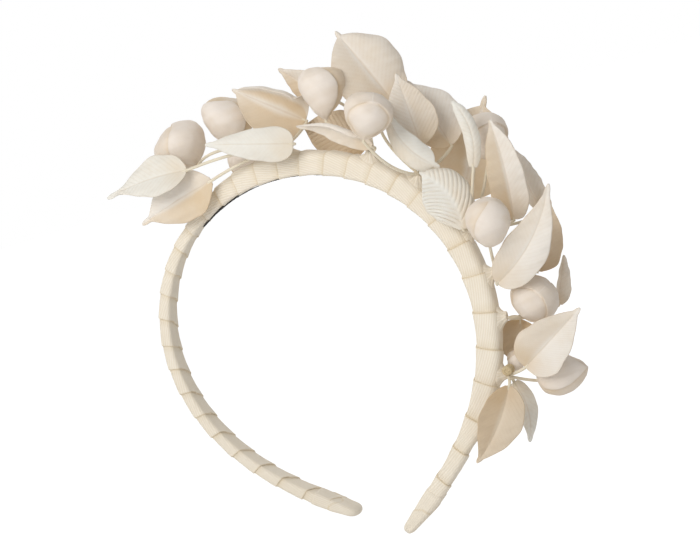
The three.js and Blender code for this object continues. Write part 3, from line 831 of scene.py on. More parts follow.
@dataclass(frozen=True)
class Leaf:
    """A moulded leather leaf, from its foot to its tip, in its spray's frame.

    Angles are in degrees. fold lifts both halves from the midrib, near and far are
    added towards each side's edge, so that a large one rolls the edge over. u runs
    from the foot to the tip, and v from the near edge at -1 to the far one at 1.
    """

    at: Numbers
    to: Numbers
    width: float
    roll: float = 0.0
    fold: float = 18.0
    near: float = -14.0
    far: float = -14.0
    arch: float = 0.0
    bow: float = 0.0
    hook: float = 0.0
    via: Numbers | None = None
    veins: float = 0.1
    vein_pitch: float = 1.9
    vein_slant: float = 1.05
    midrib: float = 0.45
    wave: float = 0.05
    taper: float = 1.0
    broad: float = 0.6
    nib: float = 0.1
    thickness: float = 0.8
    hook_start: float = 0.55
    # Painted shade on the near and far halves, kept off the outer strip of an edge rolled over by at least
    # rolled_over degrees.
    rolled_over: float = 100.0
    shade: tuple[float, float] = (0.15, 0.15)
    tone: Tone = Tone.PLAIN

    def half_width(self, u: Array) -> Array:
        """Half the leaf's width at each share of its length."""
        v = np.clip(u / (1 - 0.5 * self.nib), 0, 1)
        widest = self.broad / (self.broad + self.taper)
        most = widest ** self.broad * (1 - widest) ** self.taper
        blade = self.width / 2 * v ** self.broad * (1 - v) ** self.taper / most
        drawn = (0.75 + 0.5 * (1 - u)) * np.clip((1 - u) / 0.05, 0, 1) ** 0.5 + 0.12
        uneven = 1 + 0.035 * np.sin(9.1 * u + self.width) + 0.02 * np.sin(23 * u + 3 * self.width)
        return (blade ** 2.5 + drawn ** 2.5) ** 0.4 * uneven

    def section(self, v: Array, width: Array, u: Array) -> tuple[Array, Array]:
        """Sideways place and height of each point across the leaf, bent without stretch."""
        edge = np.abs(v)
        rise = math.radians(self.fold)
        soft = 1 - np.exp(-edge * width / 0.7)
        curl = np.radians(np.where(v < 0, self.near, self.far)) * edge ** 1.5
        angle = rise * soft + curl * smoothstep(0.03, 0.25, u) * (1 - 0.4 * smoothstep(0.8, 1.0, u))
        steps = np.abs(np.diff(v)) * width / math.cos(0.7 * rise)
        middle = (angle[:, 1:] + angle[:, :-1]) / 2
        centre = len(v) // 2

        def outwards(part: Array, sign: float) -> Array:
            """Sums that run from the midrib to both edges."""
            near = sign * np.cumsum(part[:, :centre][:, ::-1], axis=1)[:, ::-1]
            return np.concatenate([near, np.zeros_like(width), np.cumsum(part[:, centre:], axis=1)], axis=1)

        return outwards(np.cos(middle) * steps, -1.0), outwards(np.sin(middle) * steps, 1.0)

    def spine(self, u: Array) -> tuple[Array, Array, Array, float]:
        """The midrib's points, the ways across and out of the leaf there, and its length."""
        direction, front, length = facing(self.at, self.to)
        angle = math.radians(self.roll)
        face = front * math.cos(angle) + np.cross(front, direction) * math.sin(angle)
        side = np.cross(face, direction)
        room = 1 - self.hook_start
        late = np.maximum(0, u - self.hook_start) / room
        lift = length * (4 * self.arch * u * (1 - u) + self.hook * late ** 2)
        sway = length * 4 * self.bow * u * (1 - u)
        points = np.asarray(self.at, float) + direction * length * u + face * lift + side * sway
        slope = 4 * self.arch * (1 - 2 * u) + 2 * self.hook * late / room
        tangent = unit(direction + face * slope + side * 4 * self.bow * (1 - 2 * u))
        across = unit(side - tangent * (tangent @ side)[:, None])
        normal = np.cross(tangent, across)
        normal = normal * np.where((normal @ face) < 0, -1.0, 1.0)[:, None]
        return points[:, None, :], across[:, None, :], normal[:, None, :], length

    def middle(self, u: Array, v: Array, seed: float) -> tuple[Array, Array, Array]:
        """The sheet's middle surface, painted shade along its midrib, veins and edge, and painted shade on
        its foot and halves.
        """
        u = u[:, None]
        spine, across, normal, length = self.spine(u)
        edge = np.abs(v)
        width = self.half_width(u)
        reach = v * width
        over, up = self.section(v, width, u)
        loose = smoothstep(0.1, 0.4, u)
        swing = np.sin(TURN * (1.6 * u + 0.37 * seed)) * np.where(v > 0, 1.0, -0.7)
        flutter = width * self.wave * swing * edge ** 2 * loose
        along = u * length - self.vein_slant * np.abs(reach)
        groove = np.abs(np.sin(math.pi * (along / self.vein_pitch + 0.3 * np.sin(3 * u + seed)))) ** 0.8
        room = smoothstep(0.0, 0.16, edge) * (1 - smoothstep(0.86, 1.0, edge))
        room = room * smoothstep(0.04, 0.16, u) * (1 - smoothstep(0.82, 0.96, u))
        rib = self.midrib * np.exp(-(reach / 0.5) ** 2) * (1 - smoothstep(0.85, 0.97, u))
        height = up + flutter + self.veins * (groove - 0.6) * room - 0.5 * rib
        points = spine + across * over[..., None] + normal * height[..., None]
        points = points + normal * (0.5 * ripple(points, 11.0, seed) * loose * edge)[..., None]
        # Painted shade along the midrib, in the vein grooves and at the edge.
        line = self.midrib * np.exp(-(reach / 0.28) ** 2) * (1 - smoothstep(0.8, 0.95, u))
        line = line + min(1.0, self.veins * 2.4) * (1 - groove) ** 1.5 * room * 0.7
        line = line + 0.22 * smoothstep(0.93, 1.0, edge)
        # Painted shade: darker towards the foot, and on each half as the shade numbers say; an edge rolled
        # over keeps its outer strip unshaded.
        foot = 0.55 * (1 - smoothstep(0.0, 0.4, u)) * (1 - 0.4 * edge)
        half = np.where(v < 0, *self.shade) * smoothstep(0.0, 0.25, edge)
        hidden = np.where(v < 0, self.near, self.far) >= self.rolled_over
        half = half * (1 - hidden * smoothstep(0.35, 0.55, edge)) * (1 - 0.5 * smoothstep(0.5, 1.0, u))
        return points, np.clip(line, 0, 1), np.clip(foot + half, 0, 1)

    def skin(self, root: Array, seed: float) -> Skin:
        """The leaf as a closed mesh."""
        u = np.concatenate([np.linspace(0, 0.97, 112), [0.98, 0.988, 0.994, 0.998, 1.0]])
        v = np.sin(np.linspace(-1, 1, 49) * math.pi / 2 * 0.94) / math.sin(math.pi / 2 * 0.94)
        points, line, tone = self.middle(u, v, seed)
        thick = (self.thickness - 0.35 * v ** 2) * (0.55 + 0.45 * smoothstep(1.0, 0.85, u))[:, None]
        rings = sheet_rings(points + root, thick)
        # Both number sets are painted shade: along the lines, and over the foot and halves.
        return Skin().rings(rings, crease=around_sheet(line), shade=around_sheet(tone))


class Lap(Enum):
    """How a bud's front petal lies against the two beside it."""

    OVER = (0.93, 0.75, 0.0)
    UNDER = (0.74, 0.0, 0.85)

    def __init__(self, reach: float, front: float, beside: float) -> None:
        """Names the three numbers.

        Args:
            reach: How far over the bud the front petal goes, from stem to far end.
            front: Height of the front petal's edges.
            beside: Height of the edges next to it.
        """
        self.reach = reach
        self.front = front
        self.beside = beside


@dataclass(frozen=True)
class Bud:
    """A bud of three lapped leather petals, pointed at its stem, in its spray's frame.

    swell is how far a petal's raised edge spreads over it; rim, seam and the shadow reach are
    how far the thinned rim, the painted shadow line at each lap and the painted shade beside it spread.
    """

    at: Numbers
    to: Numbers
    radius: float
    via: Numbers | None = None
    turn: float = 0.0
    swirl: float = 0.3
    span: float = 62.0
    lap: Lap = Lap.OVER
    point: float = 0.85
    dome: float = 0.5
    # Even painted shade on the two petals beside the front one.
    petal_shade: float = 0.2
    swell: float = 4.5
    rim: float = 0.5
    seam: float = 0.35
    shadow_reach: float = 2.5

    def profile(self, u: Array) -> Array:
        """Radius at each share of the length."""
        u = np.clip(u, 1e-6, 1 - 1e-6)
        widest = self.point / (self.point + self.dome)
        most = widest ** self.point * (1 - widest) ** self.dome
        return self.radius * u ** self.point * (1 - u) ** self.dome / most

    def seams(self, polar: Array) -> list[tuple[Array | float, ...]]:
        """The three petals round the bud at each angle from the stem.

        Returns:
            For each petal: where it starts and ends, its height at its start, its
            middle and its end, and how much painted shade its start and its end carry.
        """
        lap = self.lap
        share = np.clip(polar / (math.pi * lap.reach), 0, 1)
        span = math.radians(self.span) * np.sin(math.pi * share ** 0.9) ** 0.6 + 0.02
        lean = self.swirl * polar
        first, second = lean - span, lean + span
        back = lean + math.pi + 0.5 - 0.25 * polar
        past = smoothstep(0.95, 1.0, share)
        top = lap.front + (lap.beside - lap.front) * past
        dark_top, dark_beside = (1 - lap.front) * (1 - past), (1 - lap.beside) * (1 - past)
        return [(first, second, top, top * 0.75 + 0.1, top, dark_top, dark_top),
                (second, back, lap.beside, 0.35, 0.6, dark_beside, 0.1),
                (back, first + TURN, 0.2, 0.3, lap.beside, 0.25, dark_beside)]

    def petals(self, polar: Array, radius: Array, fade: Array) -> tuple[Array, ...]:
        """Angle, height, painted shadow lines and painted shade round the bud, petal by petal."""
        rows = []
        t = np.linspace(0, 1, 58)[None, :]
        for number, (start, end, *heights, dark_start, dark_end) in enumerate(self.seams(polar)):
            slit = np.minimum(0.16 / np.maximum(radius, 0.5), (end - start) * 0.1)
            angle = start + slit + (end - start - slit) * t
            reach = (end - start) * radius
            from_start, to_end = t * reach, (1 - t) * reach

            def edges(at_start: Array | float, at_end: Array | float, spread: float) -> Array:
                """A value at each edge of the petal that dies away towards its middle."""
                return at_start * np.exp(-from_start / spread) + at_end * np.exp(-to_end / spread)

            begin, level, finish = heights
            lift = level + edges(begin - level, finish - level, self.swell)
            lift = (lift - 0.1 * edges(begin, finish, self.rim)) * fade + 0.2
            # Painted shadow line at each lapped edge, and painted shade beside it and on the side petals.
            seam_shadow = np.clip(edges(dark_start, dark_end, self.seam), 0, 1) * 0.38 * fade
            shadow = 0.35 * edges(dark_start, dark_end, self.shadow_reach)
            rows.append((angle, lift, seam_shadow, (shadow + (self.petal_shade if number else 0.0)) * fade))
        return tuple(np.concatenate(parts, axis=1) for parts in zip(*rows))

    def skin(self, root: Array, seed: float) -> Skin:
        """The bud as one closed mesh, with a step in it wherever one petal laps another."""
        axis, front, length = facing(self.at, self.to)
        polar = math.pi * np.linspace(0.004, 0.996, 110)[:, None]
        share = polar / math.pi
        u = (1 - np.cos(polar)) / 2
        radius = self.profile(u)
        fade = smoothstep(0.06, 0.3, share) * (1 - 0.7 * smoothstep(0.86, 0.98, share))
        angle, lift, line, petal_shade = self.petals(polar, radius, fade)
        angle = angle + math.radians(self.turn)
        radial = np.cos(angle)[..., None] * front + np.sin(angle)[..., None] * np.cross(axis, front)
        outward = unit(radial * np.sin(polar)[..., None] - axis * (0.7 * np.cos(polar))[..., None])
        spine = np.asarray(self.at, float) + axis * (length * (0.01 + 0.95 * u))[..., None]
        points = spine + radial * (radius * (1 - 0.75 / self.radius))[..., None]
        pleats = 0.16 * np.sin(7 * angle + seed) * np.exp(-((share - 0.14) / 0.1) ** 2)
        dent = 0.38 * ripple(points, 15.0, seed) + 0.09 * ripple(points, 4.5, seed + 2) + pleats
        points = points + outward * (lift + dent * fade)[..., None]
        # Painted shade towards the stem, plus darker patches at random.
        foot = 0.6 * np.exp(-polar / 0.6) + 0.2 * np.clip(-ripple(points, 12.0, seed + 5), 0, 1)
        return Skin().rings(points + root, crease=line, shade=np.clip(foot + petal_shade, 0, 1))


@dataclass(frozen=True)
class Spray:
    """A group of leaves and buds on covered wires that leave the ribbon together."""

    station: float
    leaves: tuple[Leaf, ...]
    buds: tuple[Bud, ...]


SPRAYS = (
    Spray(0.045, (
        Leaf((-37.1, -13.0, 2.3), (-71.8, -15.5, 1.1), 16.5, roll=-30, fold=16, near=-26, far=-8,
             arch=0.03, bow=-0.03, via=(-18, -8, 4), veins=0.12, vein_pitch=2.2, nib=0.22,
             taper=1.2, wave=0.09, tone=Tone.COOL),
        Leaf((-30.7, -8.5, -4.4), (-62.7, -12.0, -12.7), 19.5, roll=0, fold=6, near=-24, far=-18,
             bow=-0.02, via=(-14, -9, 0), nib=0.2, veins=0.04, wave=0.06, broad=0.75,
             shade=(0.0, 0.85)),
        Leaf((5.5, 12.0, 6.4), (-17.3, 7.0, 26.0), 25, roll=-14, fold=4, near=125, far=34,
             arch=0.05, hook=0.06, nib=0.12, broad=0.5, taper=0.8, shade=(0.95, 0.95)),
        Leaf((7, -10, -0.1), (-25.8, -14, 9.4), 13.5, roll=-12, fold=-8, near=-24, far=-20,
             arch=0.04, broad=0.4, taper=0.95, nib=0.12, tone=Tone.COOL, veins=0.05, wave=0.12),
    ), (
        Bud((-40.5, 4, 2.5), (-48.5, 4, 19.5), 11.0, via=(-24, -16, 10), turn=48, span=78,
            dome=0.6),
        Bud((-31, 13, 8), (-21, 13, 23), 10.8, via=(-26, 24, -8), turn=-36, span=70, petal_shade=0.95),
        Bud((-18.1, 13.5, -4.3), (-29.8, 13.0, 2.3), 7.6, via=(-5, 9, 4), turn=-15, span=62,
            petal_shade=0.9),
    )),
    Spray(0.2, (
        Leaf((3, -7, 2), (-22, -8, 18), 11, roll=26, fold=8, near=120, far=-10, arch=-0.06,
             bow=-0.05, via=(4, -5, 1), veins=0.04, hook=0.05, shade=(0.0, 0.35)),
        Leaf((-7.1, 17.0, 2.7), (-32.3, 18.5, 16.9), 20, roll=-16, fold=8, near=16, far=-12,
             veins=0.55, vein_pitch=2.4, tone=Tone.SHADED, shade=(0.3, 0.6)),
        Leaf((-19, 19, 25), (-34, 19, 40), 11, roll=5, fold=26, via=(-4, 22, 12), nib=0.16,
             shade=(0.2, 0.9)),
    ), (
        Bud((-14.5, 1, 15.9), (-11, 4, 36.1), 9.2, via=(-6, 0, 6), point=1.05, dome=0.42, span=76,
            turn=-20, swirl=0.08, petal_shade=0.6),
    )),
    Spray(0.29, (
        Leaf((-6, 15, 26), (-19, 11, 60), 27, roll=-24, fold=22, near=-62, far=-18, arch=0.05,
             via=(-8, 24, 6), veins=0.12, vein_pitch=2.1, nib=0.12, broad=0.75, taper=0.8,
             shade=(0.2, 0.5)),
        Leaf((-4.8, 0.0, 28.8), (9.3, -3.0, 0.9), 11, roll=24, fold=-10, near=-42, far=-20,
             arch=0.04, bow=-0.14, via=(-16, 0, 22), broad=1.4, taper=0.5, tone=Tone.COOL, nib=0.14,
             veins=0.06, wave=0.1, shade=(0.5, 0.0)),
        Leaf((1, 8, 10), (0, 8, 38), 18, roll=-20, fold=18, near=-22, far=-34, arch=0.06,
             veins=0.24, vein_pitch=1.8, shade=(0.35, 0.15)),
        Leaf((8.8, 18, 6.3), (-1.3, 21, 34.1), 21, roll=-30, fold=26, near=-50, far=-10, arch=0.06,
             veins=0.12, shade=(0.0, 0.7)),
    ), (
        Bud((-11, -16, 19), (-3, -14, 35), 9.2, via=(-8, -9, 4), lap=Lap.UNDER, span=66, turn=12,
            swirl=0.1),
    )),
    Spray(0.415, (
        Leaf((8.5, -5, 22.2), (7.7, -3, 47.2), 6, roll=-20, fold=-14, near=-30, far=-20, arch=0.06,
             via=(4, -4, 12), tone=Tone.COOL, wave=0.12, bow=-0.12, broad=0.5, taper=0.5),
        Leaf((-12.5, 33, 8.5), (9.0, 33, 44.2), 31, roll=-5, fold=8, near=-6, far=-6,
             via=(-8, 26, 6), broad=0.7, taper=0.75, nib=0.2, shade=(0.95, 0.95)),
        Leaf((13.9, 6, -1.1), (17.6, 2, 36.6), 13.5, roll=-10, fold=26, near=-18, far=-12,
             arch=0.08, bow=-0.04, via=(7, 6, -3), veins=0.08, broad=0.42, taper=0.7,
             shade=(0.0, 0.8)),
        Leaf((20, 22, -3.1), (14.6, 22, 25.4), 12, roll=30, fold=-6, near=-30, far=-20, arch=0.08,
             bow=-0.1, wave=0.1, shade=(0.0, 0.0)),
        Leaf((-1.5, -7.5, 1.7), (-10.5, -8.5, 26.2), 20, roll=-12, fold=4, near=-84, far=-14,
             arch=0.03, bow=-0.13, broad=0.75, taper=0.75, veins=0.6, vein_pitch=2.2, midrib=0.05,
             shade=(0.4, 0.0), tone=Tone.COOL),
    ), (
        Bud((8.8, 13.0, 21.8), (12.8, 13.0, 39.1), 8.2, via=(3, 18, 12), lap=Lap.UNDER, span=80),
    )),
    Spray(0.495, (
        Leaf((0.9, -5, -3.1), (31, -7, 27), 16, roll=-2, fold=12, near=-30, far=10, arch=0.05,
             bow=-0.09, veins=0.07, broad=0.5, shade=(0.0, 0.25)),
        Leaf((10.9, 14, -5.1), (24.1, 11, 19.9), 14, roll=-40, fold=30, near=30, far=-10, arch=0.05,
             via=(4, 12, 3), tone=Tone.SHADED, shade=(0.3, 0.9)),
    ), (
        Bud((4, -10, 11), (9, -13, 29), 8.2, turn=25, span=60, swirl=0.15, point=0.7),
    )),
    Spray(0.57, (
        Leaf((14, 20, -2.7), (21.5, 20, 14.6), 8, roll=30, fold=-20, near=-30, far=-30,
             via=(4, 18, -6)),
        Leaf((0.5, 12, -3.6), (-5.2, 12, -20.6), 19, roll=-10, fold=14, near=30, far=30, arch=0.05,
             tone=Tone.SHADED, shade=(0.5, 0.5)),
    ), (
        Bud((3, 6, -1), (17, 6, 8), 9.4, lap=Lap.UNDER, span=64, turn=-6, swirl=0.05, point=0.65),
    )),
    Spray(0.665, (
        Leaf((8.1, -2, 2.1), (35.5, -6, 18.8), 19, roll=0, fold=28, near=-18, far=-24, arch=0.04,
             veins=0.12, vein_pitch=1.1, nib=0.12, shade=(0.0, 0.45)),
        Leaf((1.4, -7, -2.3), (-18.4, -10, -26.9), 16, roll=18, fold=20, near=0, far=-26, arch=0.05,
             bow=0.05, tone=Tone.SHADED, shade=(0.7, 0.2)),
        Leaf((-0.1, 4, -3.4), (-0.5, 2, -26.3), 9, roll=25, fold=-28, near=-20, far=-20, arch=0.03,
             bow=0.1, tone=Tone.COOL),
    ), (
        Bud((8, 7, -5.4), (29, 6, -4.7), 8.2, turn=-60, point=0.62, dome=0.9),
        Bud((0.3, 7, 0.4), (4.1, 7, 7.4), 3.8),
    )),
)

@dataclass
class Foliage:
    """Every spray: its wires, leaves and buds."""

    line: BandLine
    roots: list[Array]
    wire_radius: float = 0.58
    wire_sides: int = 12
    into_leaf: float = 1.6
    under_ribbon: float = 3.0
    spread: float = 0.45

    def wire_path(self, spray: Spray, piece: Leaf | Bud) -> Array:
        """A wire's points, from inside the ribbon to inside the foot of its piece."""
        _, _, out = (part[0] for part in self.line.frame(np.array([spray.station])))
        foot = np.asarray(piece.at, float)
        reach = unit(np.subtract(piece.to, piece.at))
        end = foot - reach * 0.55
        if piece.via:
            turn = np.asarray(piece.via, float)
        else:
            turn = end * 0.6 - reach * 0.1 * np.linalg.norm(end)
        share = np.linspace(0, 1, 22)[:, None]
        curve = 2 * share * (1 - share) * turn + share ** 2 * end
        side = unit(turn - out * out.dot(turn)) * self.spread
        start = side - out * self.under_ribbon
        return np.concatenate([[start], curve + side * (1 - share) ** 3, [foot + reach * self.into_leaf]])

    def wire_tool(self) -> GeometryTool:
        """Geometry Nodes that turn paths into covered wires."""
        tool = GeometryTool("covered_wires", {"Wire radius": self.wire_radius * MM})
        graph = tool.graph
        curve = graph.node("GeometryNodeMeshToCurve", None, {"Mesh": tool.source.outputs[0]}).outputs[0]
        length = graph.node("GeometryNodeSplineParameter").outputs["Length"]
        stored = graph.node("GeometryNodeStoreNamedAttribute", {"data_type": "FLOAT", "domain": "POINT"},
                            {"Geometry": curve, "Name": "run", "Value": length}).outputs[0]
        ring = graph.node("GeometryNodeCurvePrimitiveCircle", None,
                          {"Resolution": self.wire_sides, "Radius": tool.size("Wire radius")}).outputs[0]
        tube = graph.node("GeometryNodeCurveToMesh", None,
                          {"Curve": stored, "Profile Curve": ring, "Fill Caps": True}).outputs[0]
        tool.end(tube, COVERED_WIRE)
        return tool

    def wires(self, number: int, spray: Spray, tool: GeometryTool) -> None:
        """One spray's covered wires as one piece."""
        points, edges = [], []
        for piece in (*spray.leaves, *spray.buds):
            path = self.wire_path(spray, piece) + self.roots[number - 1]
            first = len(points)
            points.extend((path * MM).tolist())
            edges.extend((i, i + 1) for i in range(first, len(points) - 1))
        mesh = bpy.data.meshes.new("paths")
        mesh.from_pydata(points, edges, [])
        made = tool.run(show("paths", mesh), f"spray_{number}_covered_wires", COVERED_WIRE)
        finish_piece(made, "stem_wrap", f"spray_{number}", f"spray_{number}_stems")

    def build(self) -> None:
        """Makes every spray and sets what each piece rides on."""
        tool = self.wire_tool()
        for number, spray in enumerate(SPRAYS, 1):
            root = self.roots[number - 1]
            body = f"spray_{number}"
            self.wires(number, spray, tool)
            for index, leaf in enumerate(spray.leaves, 1):
                skin = leaf.skin(root, number * 3.7 + index * 1.9)
                made = skin.make(f"{body}_leather_leaf_{index}", leaf.tone.value)
                finish_piece(made, "leaf_leather", body, f"{body}_leaf_{index}")
            for index, bud in enumerate(spray.buds, 1):
                skin = bud.skin(root, number * 2.3 + index * 4.1)
                made = skin.make(f"{body}_petalled_bud_{index}", BUD_LEATHER)
                finish_piece(made, "bud_leather", body, f"{body}_bud_{index}")
            log.info("%s: %d leaves, %d buds", body, len(spray.leaves), len(spray.buds))


# ------------------------------------------------------------------ small pieces


@dataclass
class GripStrip:
    """The thin dark pile strip under the crown: its backing, and the pile that stands on it."""

    line: BandLine
    reach: float = 0.19
    width: float = 4.2
    set_back: float = 0.7
    thickness: float = 0.12
    seat: float = 0.4
    lap_pitch: float = 9.2
    density: float = 3.2
    pile_length: float = 0.14
    pile_radius: float = 0.14
    seed: int = 11

    def backing(self) -> Skin:
        """The strip's woven back, with edges that step where the ribbon under it laps."""
        station = np.linspace(-self.reach, self.reach, 240)[:, None]
        across = np.linspace(-1, 1, 15)[None, :]
        run = station * self.line.half_length / self.lap_pitch
        edge = self.width / 2 - 0.55 * (run - np.floor(run)) - 0.15 * np.sin(9 * station * 40)
        edge = edge * (1 - 0.5 * smoothstep(0.6, 1.0, np.abs(station) / self.reach))
        place = across * edge + self.set_back
        height = np.full_like(place, -self.line.thickness / 2 - self.seat - 0.3 * self.thickness)
        middle = self.line.at(station, height, place)
        return Skin().rings(sheet_rings(middle, np.full_like(place, self.thickness)))

    def pile_tool(self) -> GeometryTool:
        """Geometry Nodes that grow the pile."""
        tool = GeometryTool("grip_pile_tufts", {
            "Tufts per square metre": self.density * 1e6,
            "Tuft length": self.pile_length * MM,
            "Tuft radius": self.pile_radius * MM,
        })
        graph = tool.graph
        points = graph.node("GeometryNodeDistributePointsOnFaces", None, {
            "Mesh": tool.source.outputs[0], "Density": tool.size("Tufts per square metre"),
            "Seed": self.seed})
        tuft = graph.node("GeometryNodeMeshCone", None, {
            "Vertices": 4, "Radius Bottom": tool.size("Tuft radius"), "Depth": tool.size("Tuft length")})
        spread = graph.node("FunctionNodeRandomValue", {"data_type": "FLOAT_VECTOR"}, {
            0: (0.7, 0.7, 0.5), 1: (1.1, 1.1, 1.5), "Seed": self.seed + 1}).outputs[0]
        placed = graph.node("GeometryNodeInstanceOnPoints", None, {
            "Points": points.outputs["Points"], "Instance": tuft.outputs["Mesh"],
            "Rotation": points.outputs["Rotation"], "Scale": spread})
        tool.end(placed.outputs[0], PILE)
        return tool

    def build(self) -> None:
        """Makes the backing and its pile."""
        tufts = self.pile_tool().run(self.backing().make("backing", PILE), "grip_strip_pile", PILE)
        finish_piece(tufts, "grip_strip", "crown")
        finish_piece(self.backing().make("grip_strip_backing", PILE), "grip_strip", "crown", "grip_strip")


@dataclass
class WireBundle:
    """The cut wire ends, bound into a short round bundle."""

    wires: int = 6
    wire_radius: float = 0.42
    wire_ring: float = 0.52
    wraps: int = 9
    wrap_height: float = 0.09
    shift: Numbers = (-0.6, -1.0, -3.4)

    def build(self) -> None:
        """Makes the binding and the wire ends that show at its face."""
        low, high = (np.array(corner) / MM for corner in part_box("wire_end_bundle"))
        middle = (low + high) / 2 + np.array(self.shift)
        radius = (high[0] - low[0]) / 2
        length = high[1] - low[1]
        run = np.linspace(0, 1, 60)
        angle = np.linspace(0, TURN, 40, endpoint=False)
        wrap = self.wrap_height * np.abs(np.sin(math.pi * (self.wraps * run[:, None] + angle / TURN)))
        end = np.sqrt(np.clip(1 - (np.abs(2 * run - 1)) ** 14, 0, 1))[:, None]
        size = (radius - 0.1) * (0.55 + 0.45 * end) + wrap * end
        skin = Skin().rings(self.tube(middle, length, run, size, angle))
        run = np.array([0.0, 0.03, 0.5, 0.97, 1.0])
        size = np.array([0.5, 1, 1, 1, 0.5])[:, None] * self.wire_radius
        for around in TURN * np.arange(self.wires) / self.wires:
            off = np.array([math.cos(around), 0, math.sin(around)]) * radius * self.wire_ring
            skin.rings(self.tube(middle + off, length + 0.5, run, size, angle[::4]))
        finish_piece(skin.make("bound_wire_ends", WIRE_ENDS), "wire_end", "right_arm", "wire_end_bundle")

    @staticmethod
    def tube(middle: Array, length: float, run: Array, radius: Array, angle: Array) -> Array:
        """Rings of a round bar that lies from front to back."""
        depth = (run[:, None] - 0.5) * length * np.ones_like(angle)
        return np.stack([radius * np.cos(angle), depth, radius * np.sin(angle)], -1) + middle


# ------------------------------------------------------------------------ studio


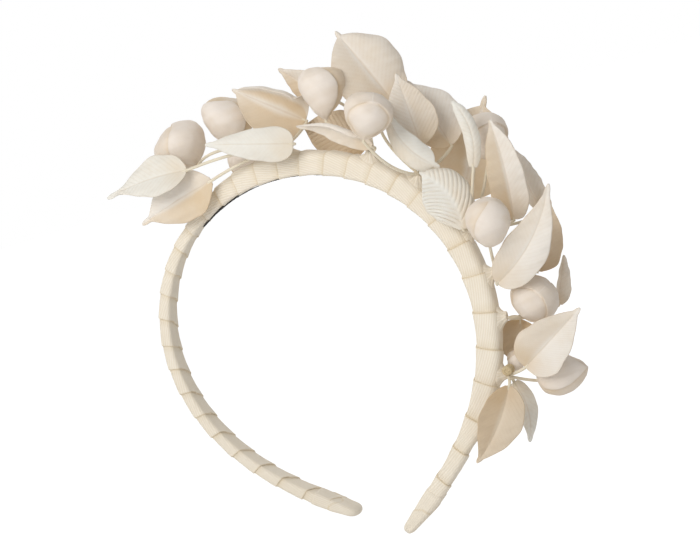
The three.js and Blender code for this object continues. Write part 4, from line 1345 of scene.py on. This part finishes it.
@dataclass
class Studio:
    """The camera, the lights, and the floor. Lengths are in millimetres, angles in degrees."""

    centre: Numbers = (0.0, 0.0, -66.95)
    azimuth: float = 24.0
    elevation: float = 7.5
    lean: float = 18.0
    distance: float = 770.0
    lens: float = 102.9
    aim_right: float = 16.5
    aim_up: float = 22.6
    ambient: float = 0.45
    floor_gap: float = 12.0
    floor_half: float = 4000.0

    def directions(self) -> tuple[Vector, Vector, Vector]:
        """Towards the camera, and level and upright across its view."""
        turn, rise = math.radians(self.azimuth), math.radians(self.elevation)
        back = Vector((math.sin(turn) * math.cos(rise), -math.cos(turn) * math.cos(rise), math.sin(rise)))
        right = Vector((math.cos(turn), math.sin(turn), 0))
        return back, right, back.cross(right)

    def camera(self) -> None:
        """Sets the camera in front and a little above, leaning so that the band tilts."""
        back, right, up = self.directions()
        centre = Vector(self.centre)
        place = centre + back * self.distance
        look = (place - (centre + right * self.aim_right + up * self.aim_up)).normalized()
        lean = math.radians(self.lean)
        level = right * math.cos(lean) - up * math.sin(lean)
        over = look.cross(level).normalized()
        data = bpy.data.cameras.new("camera")
        data.lens = self.lens
        data.sensor_width = 36.0
        data.clip_start = 0.01
        made = show("camera", data)
        turned = Matrix((over.cross(look), over, look)).transposed().to_4x4()
        made.matrix_world = Matrix.Translation(place * MM) @ turned
        bpy.context.scene.camera = made

    def lamp(self, name: str, right: float, up: float, back: float, size: float, watts: float) -> None:
        """A square soft light that faces the headband, placed along the view's directions."""
        towards, level, over = self.directions()
        data = bpy.data.lights.new(name, "AREA")
        data.size = size
        data.energy = watts
        off = level * right + over * up + towards * back
        turned = off.to_track_quat("Z", "Y").to_matrix().to_4x4()
        show(name, data).matrix_world = Matrix.Translation((Vector(self.centre) + off) * MM) @ turned

    def world(self) -> None:
        """White to the eye and in reflections, a plain level as a light."""
        world = bpy.data.worlds.new("studio")
        world.use_nodes = True
        world.node_tree.nodes.clear()
        graph = Graph(world.node_tree)
        path = graph.node("ShaderNodeLightPath")
        seen, glossy, through = (Signal(graph, path.outputs[f"Is {kind} Ray"])
                                 for kind in ("Camera", "Glossy", "Transmission"))
        soft, bright = (
            graph.node("ShaderNodeBackground", None, {"Color": color(1.0, 1.0, 1.0), "Strength": level})
            for level in (self.ambient, 1.0))
        white = (seen + (glossy + through)).above(0.5)
        mixed = graph.node("ShaderNodeMixShader", None, {0: white, 1: soft.outputs[0], 2: bright.outputs[0]})
        graph.node("ShaderNodeOutputWorld", None, {"Surface": mixed.outputs[0]})
        bpy.context.scene.world = world

    def floor(self, lowest: float) -> None:
        """A wide pale floor that shows white and keeps a soft shadow."""
        half = self.floor_half * MM
        level = lowest - self.floor_gap * MM
        mesh = bpy.data.meshes.new("floor")
        around = ((-1, -1), (1, -1), (1, 1), (-1, 1))
        mesh.from_pydata([(x * half, y * half, level) for x, y in around], [], [(0, 1, 2, 3)])
        finish = bpy.data.materials.new("floor_white")
        finish.use_nodes = True
        finish.node_tree.nodes.clear()
        graph = Graph(finish.node_tree)
        path = graph.node("ShaderNodeLightPath")
        seen = Signal(graph, path.outputs["Is Camera Ray"]) * 0.7
        matt = graph.node("ShaderNodeBsdfDiffuse", None, {"Color": color(0.93, 0.93, 0.93)})
        white = graph.node("ShaderNodeEmission", None, {"Color": color(1.0, 1.0, 1.0), "Strength": 1.3})
        mixed = graph.node("ShaderNodeMixShader", None, {0: seen, 1: matt.outputs[0], 2: white.outputs[0]})
        graph.node("ShaderNodeOutputMaterial", None, {"Surface": mixed.outputs[0]})
        mesh.materials.append(finish)
        show("floor", mesh)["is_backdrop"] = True

    def build(self, lowest: float) -> None:
        """Sets up everything that isn't the headband."""
        self.camera()
        self.world()
        self.lamp("key_light", -330.0, 330.0, 620.0, size=0.45, watts=2.9)
        self.lamp("fill_light", -420.0, -320.0, 560.0, size=0.6, watts=0.9)
        self.lamp("back_light", 150.0, 520.0, -520.0, size=0.6, watts=0.7)
        self.floor(lowest)
        bpy.context.scene.view_settings.view_transform = "Standard"


def dress_frame(nodes: dict[str, Thing]) -> None:
    """Gives the pieces that stay as they were packed their finishes."""
    finishes = {"spring_band": SPRING_STEEL, "stem_bed": COVERED_WIRE}
    for name, node in nodes.items():
        for start, finish in finishes.items():
            if name.startswith(start):
                node.data.materials.clear()
                node.data.materials.append(finish.material())


def corners(box: Sequence[Sequence[float]]) -> list[list[float]]:
    """A box's two corners as plain lists."""
    return [[float(value) for value in corner] for corner in box]


def main() -> None:
    """Loads the frame, builds the studio and the headband round it, and sets the floor under its lowest
    point.
    """
    logging.basicConfig(level=logging.INFO, format="%(name)s: %(message)s")
    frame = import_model()
    packed = corners(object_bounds())
    joints = {joint["name"]: joint for joint in frame["joints"]}
    roots = [np.array(joints[f"spray_{n}_bend"]["pos_m"]) / MM for n in range(1, len(SPRAYS) + 1)]
    line = BandLine()
    Studio().build(packed[0][2])
    dress_frame(frame["nodes"])
    Winding(line).build()
    GripStrip(line).build()
    WireBundle().build()
    Foliage(line, roots).build()
    bpy.context.view_layer.update()


if __name__ == "__main__":
    main()
